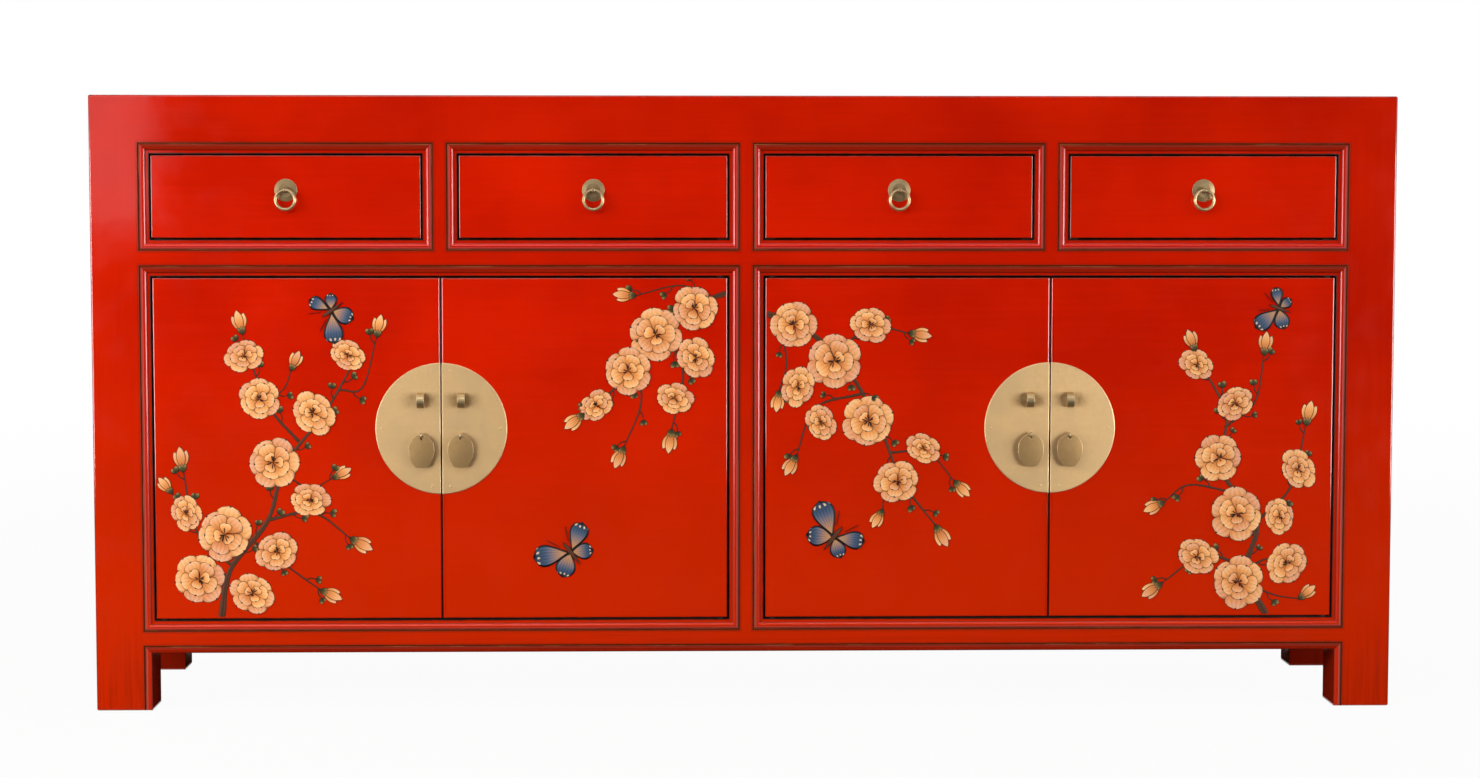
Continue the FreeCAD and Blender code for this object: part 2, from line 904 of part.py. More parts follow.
def door_pull():
    half, foot = pull_width / 2, pull_foot_width / 2
    front = pull_y - pull_thickness / 2 - pull_belly
    back = pull_y + pull_thickness / 2
    clear = front - overrun
    low = -pull_length
    corner = half / 2 + pull_corner_bow
    corner_rise = (pull_head - pull_shoulder) / 2 + pull_corner_bow
    side = (half + foot) / 2 + pull_side_bow
    side_rise = (low - pull_shoulder) / 2

    def at(x, rise):
        return Vector(-pull_offset + x, clear, pull_z + rise)

    edges = [
        Part.Arc(at(0, pull_head), at(corner, corner_rise), at(half, -pull_shoulder)).toShape(),
        Part.Arc(at(half, -pull_shoulder), at(side, side_rise), at(foot, low)).toShape(),
        Part.Arc(at(foot, low), at(0, low - pull_foot_bow), at(-foot, low)).toShape(),
        Part.Arc(at(-foot, low), at(-side, side_rise), at(-half, -pull_shoulder)).toShape(),
        Part.Arc(at(-half, -pull_shoulder), at(-corner, corner_rise), at(0, pull_head)).toShape(),
    ]
    plate = Part.Face(Part.Wire(edges)).extrude(Vector(0, back - clear, 0))
    belly_radius = (pull_length / 2) ** 2 / (2 * pull_belly)
    belly_centre = Vector(-pull_offset, front + belly_radius, pull_z - pull_length / 2)
    belly = Part.makeSphere(belly_radius, belly_centre)
    hole_start = at(0, -pull_eye_hole - pull_eye_strip / 2)
    hole = Part.makeCylinder(pull_hole_radius, back - clear + overrun, hole_start, Vector(0, 1, 0))
    return plate.common(belly).cut(hole)


def left_door():
    back = leaf_y + door_thickness
    pull_eye = eye(-pull_offset, pull_y, pull_z, back, pull_eye_hole, pull_eye_strip, pull_eye_width)
    staple = lock_staple()
    through = [staple, pull_eye]
    return {
        "leaf": [door_leaf().cut(through)],
        "battens": door_battens(),
        "lock_plate": [lock_plate().cut(through)],
        "staples": [staple, pull_eye],
        "pull": [door_pull()],
    }


def doors():
    left = left_door()
    nodes = {}
    for pair, meeting in enumerate(door_meetings):
        for name, shapes in left.items():
            nodes[f"door_{2 * pair + 1}_{name}"] = [moved(shape, meeting) for shape in shapes]
            nodes[f"door_{2 * pair + 2}_{name}"] = [moved(mirrored(shape), meeting) for shape in shapes]
    return nodes


def drawers():
    pieces = drawer()
    nodes = {}
    for index, x in enumerate(drawer_centres):
        for name, shapes in pieces.items():
            nodes[f"drawer_{index + 1}_{name}"] = [moved(shape, x) for shape in shapes]
    return nodes


def main():
    nodes = carcase()
    nodes.update(fittings())
    nodes.update(drawers())
    nodes.update(doors())
    os.makedirs("parts", exist_ok=True)
    for name, shapes in nodes.items():
        solids = [solid for shape in shapes for solid in shape.Solids]
        whole = solids[0] if len(solids) == 1 else Part.makeCompound(solids)
        whole.exportStep(f"parts/{name}.step")
        print(name, len(solids), "solids", round(whole.Volume / 1000.0, 1), "cm3")


main()
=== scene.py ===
"""Looks of a red lacquered sideboard: finishes, painted doors, plate nails and a plain studio."""
import logging
import math
from collections.abc import Iterable
from dataclasses import dataclass, field
from enum import Enum

import bpy
import numpy as np
from mathutils import Matrix, Vector


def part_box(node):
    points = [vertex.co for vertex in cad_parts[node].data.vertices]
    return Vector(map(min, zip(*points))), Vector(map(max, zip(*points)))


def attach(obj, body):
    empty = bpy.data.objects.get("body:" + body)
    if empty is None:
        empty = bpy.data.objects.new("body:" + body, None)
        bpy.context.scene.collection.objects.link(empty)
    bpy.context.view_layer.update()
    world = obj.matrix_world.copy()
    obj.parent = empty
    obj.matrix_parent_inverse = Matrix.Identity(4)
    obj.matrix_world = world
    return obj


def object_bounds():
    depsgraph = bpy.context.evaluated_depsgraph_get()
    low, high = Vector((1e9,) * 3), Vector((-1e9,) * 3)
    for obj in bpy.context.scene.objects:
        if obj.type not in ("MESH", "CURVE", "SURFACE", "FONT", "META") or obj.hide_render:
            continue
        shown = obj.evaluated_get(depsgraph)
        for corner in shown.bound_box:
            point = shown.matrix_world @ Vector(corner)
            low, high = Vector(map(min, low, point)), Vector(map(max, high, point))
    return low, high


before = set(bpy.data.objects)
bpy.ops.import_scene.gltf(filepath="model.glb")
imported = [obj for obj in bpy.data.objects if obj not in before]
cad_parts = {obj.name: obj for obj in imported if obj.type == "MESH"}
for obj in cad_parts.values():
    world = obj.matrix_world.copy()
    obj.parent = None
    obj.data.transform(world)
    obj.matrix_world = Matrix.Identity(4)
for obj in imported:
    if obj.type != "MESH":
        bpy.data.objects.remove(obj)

CAD_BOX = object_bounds()
LOG = logging.getLogger("sideboard")
MM = 0.001
PAINT_FOOT = -0.05  # the rim of all paint goes this far into the door, in millimetres
PAINT_SIDES = 7  # points across every stroke and branch

Array = np.ndarray
Numbers = Array | float
Colour = tuple[float, float, float]
Spot = tuple[float, float, float]
Point = tuple[float, float]
Socket = bpy.types.NodeSocket
Outputs = bpy.types.bpy_prop_collection
Feed = Socket | float | Colour


class Graph:
    """A node tree filled by short calls, each of which returns the socket of a new node."""

    def __init__(self, tree: bpy.types.NodeTree) -> None:
        """Keep the tree that the calls fill."""
        self.tree = tree

    def feed(self, socket: Socket, value: Feed) -> None:
        """Join a socket to another one, or set its own value.

        Args:
            socket: The socket that takes the value.
            value: Another socket, a number or a colour.
        """
        if isinstance(value, bpy.types.NodeSocket):
            self.tree.links.new(value, socket)
        elif socket.type == "RGBA":
            socket.default_value = (*value, 1.0)
        else:
            socket.default_value = value

    def add(self, kind: str, inputs: dict | None = None, **settings: object) -> bpy.types.Node:
        """Place one node.

        Args:
            kind: Blender's name of the node type.
            inputs: What each input takes, by name or number.
            settings: The node's own options.

        Returns:
            The new node.
        """
        node = self.tree.nodes.new(kind)
        for name, value in settings.items():
            setattr(node, name, value)
        for key, value in (inputs or {}).items():
            self.feed(node.inputs[key], value)
        return node

    def math(self, operation: str, a: Feed, b: Feed = 0.0, clamp: bool = False) -> Socket:
        """Return one arithmetic step on two values."""
        return self.add("ShaderNodeMath", {0: a, 1: b}, operation=operation, use_clamp=clamp).outputs[0]

    def chain(self, operation: str, *values: Feed) -> Socket:
        """Carry one operation through several values, as for a sum, the least or the most.

        Args:
            operation: Blender's name of the operation.
            values: Two or more values.

        Returns:
            The result.
        """
        result = values[0]
        for value in values[1:]:
            result = self.math(operation, result, value)
        return result

    def scaled(self, value: Feed, slope: Feed, start: Feed = 0.0) -> Socket:
        """Return a value times a slope, plus a start."""
        return self.add("ShaderNodeMath", {0: value, 1: slope, 2: start}, operation="MULTIPLY_ADD").outputs[0]

    def off(self, value: Feed, place: float) -> Socket:
        """Return how far a value is from a place, on either side."""
        return self.math("ABSOLUTE", self.math("SUBTRACT", value, place))

    def fade(self, value: Feed, full: float, none: float) -> Socket:
        """Return a mask that is 1 up to one value and falls smoothly to 0 at another.

        Args:
            value: What is measured.
            full: Where the mask is 1.
            none: Where the mask is 0.

        Returns:
            The mask.
        """
        rising = none < full
        low, high = min(full, none), max(full, none)
        ends = {3: 0.0, 4: 1.0} if rising else {3: 1.0, 4: 0.0}
        return self.add(
            "ShaderNodeMapRange", {0: value, 1: low, 2: high, **ends}, interpolation_type="SMOOTHSTEP"
        ).outputs[0]

    def mix(self, share: Feed, a: Feed, b: Feed) -> Socket:
        """Return colour a, turning into colour b as the share rises to 1."""
        return self.add("ShaderNodeMix", {0: share, 6: a, 7: b}, data_type="RGBA").outputs[2]

    def shade(self, colour: Feed, level: Feed) -> Socket:
        """Return a colour with all its channels times a level."""
        return self.add("ShaderNodeVectorMath", {0: colour, "Scale": level}, operation="SCALE").outputs[0]

    def stretched(self, vector: Socket, stretch: Feed) -> Socket:
        """Return a vector times another, part by part."""
        return self.add("ShaderNodeVectorMath", {0: vector, 1: stretch}, operation="MULTIPLY").outputs[0]

    def noise(self, vector: Socket, scale: float, detail: float = 2.0, rough: float = 0.5) -> Socket:
        """Return cloudy noise from 0 to 1."""
        inputs = {"Vector": vector, "Scale": scale, "Detail": detail, "Roughness": rough}
        return self.add("ShaderNodeTexNoise", inputs).outputs[0]

    def place(self) -> Socket:
        """Return the point of the surface in the piece's own frame, in metres."""
        return self.add("ShaderNodeTexCoord").outputs["Object"]

    def facing(self) -> Socket:
        """Return the way in which the surface looks, along the piece's own axes."""
        return self.add("ShaderNodeTexCoord").outputs["Normal"]

    def axes(self, vector: Socket) -> tuple[Socket, Socket, Socket]:
        """Return the three parts of a vector."""
        node = self.add("ShaderNodeSeparateXYZ", {0: vector})
        return node.outputs[0], node.outputs[1], node.outputs[2]

    def attribute(self, name: str) -> Socket:
        """Return a value that the mesh carries on its points."""
        return self.add("ShaderNodeAttribute", attribute_name=name).outputs["Fac"]

    def bevel(self, radius: Feed) -> Socket:
        """Return the normal of a surface whose edges are rounded to a radius."""
        return self.add("ShaderNodeBevel", {"Radius": radius}, samples=6).outputs[0]

    def bump(self, height: Socket, strength: float, distance: float, eased: float = 0.0) -> Socket:
        """Return the normal of a surface that is raised by a height.

        Args:
            height: The height from 0 to 1.
            strength: How much of it shows.
            distance: How high 1 is, in metres.
            eased: The radius that the edges seem to be rounded to, in metres.

        Returns:
            The normal.
        """
        inputs = {"Height": height, "Strength": strength, "Distance": distance}
        if eased:
            inputs["Normal"] = self.bevel(eased)
        return self.add("ShaderNodeBump", inputs).outputs[0]


class Effect:
    """A shader node group with named inputs and outputs, built once and placed in many materials."""

    def __init__(self, name: str, inputs: dict[str, float | Colour], outputs: list[str]) -> None:
        """Make an empty group.

        Args:
            name: The group's name.
            inputs: Its inputs with their usual values, a number or three.
            outputs: The names of its outputs, all plain values.
        """
        self.tree = bpy.data.node_groups.new(name, "ShaderNodeTree")
        for key, value in inputs.items():
            kind = "NodeSocketVector" if isinstance(value, tuple) else "NodeSocketFloat"
            self.tree.interface.new_socket(key, in_out="INPUT", socket_type=kind).default_value = value
        for key in outputs:
            self.tree.interface.new_socket(key, in_out="OUTPUT", socket_type="NodeSocketFloat")
        self.graph = Graph(self.tree)
        self.source = self.graph.add("NodeGroupInput").outputs
        self.target = self.graph.add("NodeGroupOutput").inputs

    def give(self, **values: Socket) -> "Effect":
        """Join the group's outputs.

        Args:
            values: The socket for each output, by the output's name.

        Returns:
            The group itself.
        """
        for key, value in values.items():
            self.graph.feed(self.target[key], value)
        return self

    def use(self, graph: Graph, **values: Feed) -> Outputs:
        """Place the group in a material, and return its outputs."""
        return graph.add("ShaderNodeGroup", values, node_tree=self.tree).outputs


@dataclass(frozen=True)
class Moulding:
    """Widths of the moulding beside an opening, in metres: a ledge, a bead and a narrow quirk."""

    ledge: float = 4.5 * MM
    bead: float = 9.3 * MM
    quirk: float = 1.2 * MM
    quirk_depth: float = 2.4 * MM
    bead_drop: float = 3.0 * MM
    worn_foot: float = 1.6 * MM

    def bead_profile(self, with_ledge: bool, steps: int = 21) -> tuple[Array, Array]:
        """Return the bead as distances from the opening and depths under the face.

        It is the arc through the foot of the quirk, the crest and the inner end. With the middle of the circle at
        (a, b), equal distances to the three points give two linear equations for a and b.

        Args:
            with_ledge: Whether a ledge lies between the bead and the opening.
            steps: How many points are made.

        Returns:
            The distances, from the quirk inwards, and the depths.
        """
        inner = self.ledge if with_ledge else 0.0
        ends = np.array([[inner + self.bead, self.quirk_depth], [inner + self.bead / 2, 0.0], [inner, self.bead_drop]])
        squares = (ends**2).sum(axis=1)
        middle = np.linalg.solve(2 * (ends[1:] - ends[0]), squares[1:] - squares[0])
        arms = ends - middle
        turns = np.arctan2(arms[:, 0], -arms[:, 1])
        turn = np.linspace(turns[0], turns[2], steps)
        radius = np.linalg.norm(arms[1])
        return middle[0] + radius * np.sin(turn), middle[1] - radius * np.cos(turn)

    def quirk_line(self, with_ledge: bool) -> float:
        """Return how far the quirk's middle lies from the edge of the opening."""
        return self.bead + self.quirk / 2 + (self.ledge if with_ledge else 0.0)


@dataclass(frozen=True)
class Rectangle:
    """A rectangle on a face of the carcase, by its middle and half sizes in metres."""

    middle: Point
    half: Point

    @classmethod
    def between(cls, low: Point, high: Point) -> "Rectangle":
        """Return the rectangle between two opposite corners."""
        middle = ((low[0] + high[0]) / 2, (low[1] + high[1]) / 2)
        return cls(middle, ((high[0] - low[0]) / 2, (high[1] - low[1]) / 2))

    def distance(self, graph: Graph, along: Socket, height: Socket) -> Socket:
        """Measure outwards from the edge, with square corners: the larger of both offsets.

        Args:
            graph: Where the nodes go.
            along: The level place on the face.
            height: The height on the face.

        Returns:
            The distance, below 0 inside the rectangle.
        """
        beside = graph.math("SUBTRACT", graph.off(along, self.middle[0]), self.half[0])
        above = graph.math("SUBTRACT", graph.off(height, self.middle[1]), self.half[1])
        return graph.math("MAXIMUM", beside, above)


@dataclass(frozen=True)
class FrameLines:
    """Where the lines of the frame run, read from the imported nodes."""

    gap: float = 2.0 * MM
    pin: float = 12.0 * MM
    floor_reach: float = 1.0

    def drawer_openings(self) -> list[Rectangle]:
        """Find the two drawer openings on the right half.

        Returns:
            The openings.
        """
        found = []
        for node in ("drawer_3_front", "drawer_4_front"):
            low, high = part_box(node)
            found.append(
                Rectangle.between((low.x - self.gap, low.z - self.gap), (high.x + self.gap, high.z + self.gap))
            )
        return found

    def door_opening(self) -> Rectangle:
        """Find the opening of the right pair of doors.

        Returns:
            The opening.
        """
        low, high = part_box("door_3_leaf")[0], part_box("door_4_leaf")[1]
        rise = self.pin - self.gap
        return Rectangle.between((low.x - self.gap, low.z + rise), (high.x + self.gap, high.z - rise))

    def meeting(self) -> float:
        """Return the place of the line where the right pair of doors meets."""
        return (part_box("door_3_leaf")[1].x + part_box("door_4_leaf")[0].x) / 2

    def front_apron(self) -> Rectangle:
        """Return the space between the legs, under the bottom rail."""
        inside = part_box("front_right_leg")[0].x + Moulding().ledge
        return Rectangle.between((-inside, -self.floor_reach), (inside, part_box("bottom_front_rail")[0].z))

    def end_openings(self) -> list[Rectangle]:
        """Find the panel and the space under it on an end.

        Returns:
            Both, the panel first.
        """
        front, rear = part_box("front_right_leg")[1].y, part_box("rear_right_leg")[0].y
        bottom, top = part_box("bottom_end_rails"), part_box("top_end_rails")
        return [
            Rectangle.between((front, bottom[1].z), (rear, top[0].z)),
            Rectangle.between((front, -self.floor_reach), (rear, bottom[0].z)),
        ]


class Side(Enum):
    """A side of the carcase that carries mouldings."""

    FRONT = 0
    LEFT = 1
    RIGHT = 2


class Run(Enum):
    """The way in which a member's grain and brush marks run, as a stretch of its noise."""

    LEVEL = (2.0, 60.0, 60.0)
    UPRIGHT = (60.0, 60.0, 2.0)
    DEEP = (60.0, 2.0, 60.0)


class Effects:
    """The shared effects, each built once."""

    def __init__(self) -> None:
        """Build every group."""
        self.lines = self.frame_lines(FrameLines(), Moulding())
        self.brushing = self.brush_marks()
        self.grain = self.wood_grain()
        self.polish = self.metal_polish()
        self.lit_and_worn_edges = self.edge_highlight_and_wear()
        self.stroke = self.brush_stroke()

    @staticmethod
    def frame_lines(lines: FrameLines, moulding: Moulding) -> Effect:
        """Measure the surface against the lines of the frame, in millimetres.

        Quirk is the distance to the nearest quirk, Bead the distance to the worn foot of the bead beside it, Gap the
        distance to the middle of the nearest gap round a drawer or door, and Arris the distance to the nearest outer
        edge: of the distances to the three nearest outer faces, the middle one.

        Args:
            lines: Where the openings are.
            moulding: The widths of the moulding.

        Returns:
            The group.
        """
        effect = Effect("frame_lines", {"Waver": 1.0}, ["Quirk", "Bead", "Gap", "Arris"])
        g = effect.graph
        place = g.place()
        x, y, z = g.axes(place)
        across = g.math("ABSOLUTE", x)
        waves = g.math("SUBTRACT", g.noise(place, scale=70.0, detail=3.0), 0.5)
        wobble = g.math("MULTIPLY", waves, effect.source["Waver"])
        fronts = (*lines.drawer_openings(), lines.door_opening())
        opening = g.chain("MINIMUM", *[outline.distance(g, across, z) for outline in fronts])
        ends = [outline.distance(g, y, z) for outline in lines.end_openings()]
        bare = g.chain("MINIMUM", lines.front_apron().distance(g, x, z), *ends)

        def beside(inwards: float) -> Socket:
            """Return the distance to a line that runs along the nearest quirk, some way nearer the opening."""
            ledged = g.off(opening, moulding.quirk_line(True) - inwards)
            return g.math("MINIMUM", ledged, g.off(bare, moulding.quirk_line(False) - inwards))

        low, high = CAD_BOX
        sides = [
            g.off(across, high.x),
            g.math("SUBTRACT", high.y, g.math("ABSOLUTE", y)),
            g.math("MINIMUM", g.off(z, high.z), g.off(z, low.z)),
        ]
        arris = g.chain("SUBTRACT", *[g.chain(kind, *sides) for kind in ("ADD", "MINIMUM", "MAXIMUM")])
        wavering = {
            "Quirk": (beside(0.0), 1.0),
            "Bead": (beside(moulding.worn_foot), 1.6),
            "Gap": (g.off(opening, -lines.gap / 2), 1.0),
            "Arris": (arris, 3.0),
        }
        return effect.give(
            **{name: g.scaled(wobble, waver, g.scaled(far, 1 / MM)) for name, (far, waver) in wavering.items()}
        )

    @staticmethod
    def brush_marks() -> Effect:
        """Draw long faint marks of a lacquer brush, a slow cloud of tone, an unevenness of the coat and worn patches.

        Returns:
            The group.
        """
        effect = Effect("brush_marks", {"Stretch": Run.LEVEL.value}, ["Streak", "Cloud", "Ripple", "Patch"])
        g = effect.graph
        place = g.place()
        return effect.give(
            Streak=g.noise(g.stretched(place, effect.source["Stretch"]), scale=3.0, detail=5.0, rough=0.65),
            Cloud=g.noise(place, scale=5.0, detail=3.0),
            Ripple=g.noise(place, scale=24.0),
            Patch=g.noise(place, scale=13.0, detail=4.0, rough=0.6),
        )

    @staticmethod
    def wood_grain() -> Effect:
        """Draw the rings of sawn wood as a noise drawn out along the board, and its pores as a finer one.

        Returns:
            The group.
        """
        effect = Effect("wood_grain", {"Stretch": (1.5, 24.0, 24.0), "Shift": 0.0}, ["Ring", "Pore"])
        g = effect.graph
        along = g.stretched(g.place(), effect.source["Stretch"])
        along = g.add("ShaderNodeVectorMath", {0: along, 1: effect.source["Shift"]}, operation="ADD").outputs[0]
        swirl = g.noise(along, scale=1.0, detail=4.0, rough=0.6)
        rings = g.math("SINE", g.scaled(swirl, 42.0))
        return effect.give(Ring=g.scaled(rings, 0.5, 0.5), Pore=g.noise(along, scale=14.0, detail=3.0, rough=0.7))

    @staticmethod
    def metal_polish() -> Effect:
        """Draw fine level polishing lines on metal, and a slow patchy tarnish.

        Returns:
            The group.
        """
        effect = Effect("metal_polish", {"Stretch": (14.0, 900.0, 900.0)}, ["Line", "Tarnish"])
        g = effect.graph
        place = g.place()
        line = g.noise(g.stretched(place, effect.source["Stretch"]), scale=1.0, detail=3.0, rough=0.6)
        return effect.give(Line=line, Tarnish=g.noise(place, scale=38.0, detail=4.0, rough=0.6))

    @staticmethod
    def edge_highlight_and_wear() -> Effect:
        """Find the sharp edges of a piece: 1 where rounding them to a radius turns the normal, 0 away from them.

        Returns:
            The group.
        """
        effect = Effect("edge_highlight_and_wear", {"Radius": MM}, ["Edge"])
        g = effect.graph
        flat = g.add("ShaderNodeNewGeometry").outputs["Normal"]
        eased = g.bevel(effect.source["Radius"])
        turn = g.add("ShaderNodeVectorMath", {0: eased, 1: flat}, operation="DOT_PRODUCT").outputs["Value"]
        return effect.give(Edge=g.fade(turn, 0.80, 0.99))

    @staticmethod
    def brush_stroke() -> Effect:
        """Outline a painted stroke by its distance from the rim, and streak it along its length.

        Returns:
            The group.
        """
        effect = Effect("brush_stroke", {"Outline": 0.7, "Lines": 16.0}, ["Edge", "Vein", "Fleck"])
        g = effect.graph
        outline = effect.source["Outline"]
        edge = g.add(
            "ShaderNodeMapRange",
            {0: g.attribute("rim"), 1: outline, 2: g.math("ADD", outline, 0.35), 3: 1.0, 4: 0.0},
            interpolation_type="SMOOTHSTEP",
        ).outputs[0]
        fleck = g.noise(g.place(), scale=420.0, detail=3.0, rough=0.6)
        wave = g.scaled(g.attribute("across"), effect.source["Lines"], g.scaled(fleck, 2.5))
        return effect.give(Edge=edge, Vein=g.scaled(g.math("SINE", wave), 0.5, 0.5), Fleck=fleck)


def new_material(name: str) -> tuple[bpy.types.Material, Graph, bpy.types.Node]:
    """Make a material with one plain shader.

    Args:
        name: The material's name.

    Returns:
        The material, its graph and its shader.
    """
    material = bpy.data.materials.new(name)
    material.use_nodes = True
    graph = Graph(material.node_tree)
    return material, graph, material.node_tree.nodes["Principled BSDF"]


@dataclass(frozen=True)
class Band:
    """A soft mask over a measured value: where it is full, where it ends and how strong it is."""

    full: float
    none: float
    share: float = 1.0

    def mask(self, graph: Graph, value: Socket) -> Socket:
        """Return the mask over a value."""
        faded = graph.fade(value, self.full, self.none)
        return faded if self.share == 1.0 else graph.scaled(faded, self.share)


@dataclass(frozen=True)
class Lacquer:
    """Glossy red lacquer, rubbed along its edges, with painted shade round its quirks, in its gaps and on inward
    faces.

    Bands on lines, gaps and edges are in millimetres, and those on heights and depths in metres.
    """

    name: str
    run: Run
    deep: Colour = (0.48, 0.0070, 0.0)
    bright: Colour = (0.65, 0.0130, 0.0)
    warm: Colour = (0.62, 0.0240, 0.0)
    shade_wear_and_grime: Colour = (0.11, 0.0100, 0.0030)
    near_black: Colour = (0.016, 0.0075, 0.0040)
    shade_and_rub: Colour = (0.150, 0.0210, 0.0040)
    olive: Colour = (0.10, 0.050, 0.014)
    gilt: Colour = (0.48, 0.30, 0.135)
    stain: Colour = (0.095, 0.0360, 0.0150)
    roughness: float = 0.035
    stained_from: float | None = None
    waver: float = 1.3
    streak_tone: float = 0.22
    cloud_tone: float = 0.85
    streak_rough: float = 0.06
    streak_rise: float = 0.05
    ripple_rise: float = 0.9
    # painted shade: a dark line in each quirk, partly rubbed, and a soft darker halo round it
    quirk_line: Band = Band(0.6, 1.5)
    quirk_shade: Band = Band(1.0, 5.0, 0.34)
    gilt_line: Band = Band(0.35, 1.1, 0.9)
    gilt_patches: Band = Band(0.60, 0.40)
    # painted shade: near black inside the gaps round drawers and doors
    gap_shade: Band = Band(1.3, 2.2)
    gap_rub: Band = Band(2.0, 4.0, 0.45)
    arris_rub: Band = Band(0.4, 2.6, 0.55)
    tones: Band = Band(0.78, 0.30)
    warm_heights: Band = Band(0.10, 0.58, 0.8)
    grime_heights: Band = Band(0.01, 0.17, 0.42)
    grime_streaks: Band = Band(0.72, 0.36)
    # painted shade on faces that look inward, towards the middle of the sideboard
    inward_shade: Band = Band(-0.9, -0.5, 0.6)
    gap_depths: Band = Band(2.4 * MM, 1.6 * MM)
    coat_ripples: Band = Band(0.70, 0.40, 0.04)
    stain_edge: float = 0.4 * MM
    line_matt: float = 0.16
    deep_matt: float = 0.70
    stain_matt: float = 0.55

    def darkened(self, graph: Graph, marks: Outputs, lines: Outputs) -> Socket:
        """Find the darker places: painted shade by quirks and inward faces, wear by gaps and edges, grime by the
        floor.

        Args:
            graph: The material's graph.
            marks: The brush marks.
            lines: The distances to the lines of the frame.

        Returns:
            The mask.
        """
        x, _, height = graph.axes(graph.place())
        streaks = self.grime_streaks.mask(graph, marks["Streak"])
        inward = graph.math("MULTIPLY", graph.axes(graph.facing())[0], graph.math("SIGN", x))
        return graph.chain(
            "MAXIMUM",
            self.quirk_shade.mask(graph, lines["Quirk"]),
            self.arris_rub.mask(graph, lines["Arris"]),
            self.gap_rub.mask(graph, lines["Gap"]),
            self.inward_shade.mask(graph, inward),
            graph.math("MULTIPLY", self.grime_heights.mask(graph, height), streaks),
        )

    def material(self, effects: Effects) -> bpy.types.Material:
        """Build the lacquer.

        Args:
            effects: The shared effects.

        Returns:
            The material.
        """
        material, g, shader = new_material(self.name)
        marks = effects.brushing.use(g, Stretch=self.run.value)
        lines = effects.lines.use(g, Waver=self.waver)
        _, depth, height = g.axes(g.place())
        quirk, gap = self.quirk_line.mask(g, lines["Quirk"]), self.gap_shade.mask(g, lines["Gap"])

        tone = g.scaled(marks["Streak"], self.streak_tone, g.scaled(marks["Cloud"], self.cloud_tone))
        colour = g.mix(self.tones.mask(g, tone), self.deep, self.bright)
        colour = g.mix(self.warm_heights.mask(g, height), colour, self.warm)
        # one darker colour for painted shade by quirks and on inward faces, rubbing by gaps and edges, and grime near
        # the floor
        colour = g.mix(self.darkened(g, marks, lines), colour, self.shade_wear_and_grime)
        gilding = g.mix(self.gilt_patches.mask(g, marks["Patch"]), self.olive, self.gilt)
        colour = g.mix(self.gilt_line.mask(g, lines["Bead"]), colour, gilding)
        # painted shade and rubbing in each quirk, and painted shade, near black, in the gaps
        colour = g.mix(gap, g.mix(quirk, colour, self.shade_and_rub), self.near_black)

        sunk = self.gap_depths.mask(g, g.math("SUBTRACT", depth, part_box("door_1_leaf")[0].y))
        matt = g.math("MULTIPLY", gap, g.scaled(sunk, self.deep_matt, self.line_matt))
        matt = g.math("MAXIMUM", matt, g.scaled(quirk, self.line_matt))
        if self.stained_from is not None:
            inner = g.fade(depth, self.stained_from + self.stain_edge, self.stained_from - self.stain_edge)
            colour = g.mix(inner, colour, g.shade(self.stain, g.math("ADD", marks["Streak"], 0.5)))
            matt = g.math("MAXIMUM", matt, g.scaled(inner, self.stain_matt))
        g.feed(shader.inputs["Base Color"], colour)
        streaky = g.scaled(marks["Streak"], self.streak_rough, self.roughness)
        g.feed(shader.inputs["Roughness"], g.chain("ADD", streaky, self.coat_ripples.mask(g, marks["Ripple"]), matt))
        raised = g.scaled(marks["Streak"], self.streak_rise, g.scaled(marks["Ripple"], self.ripple_rise))
        g.feed(shader.inputs["Normal"], g.bump(raised, strength=0.4, distance=0.35 * MM))
        return material


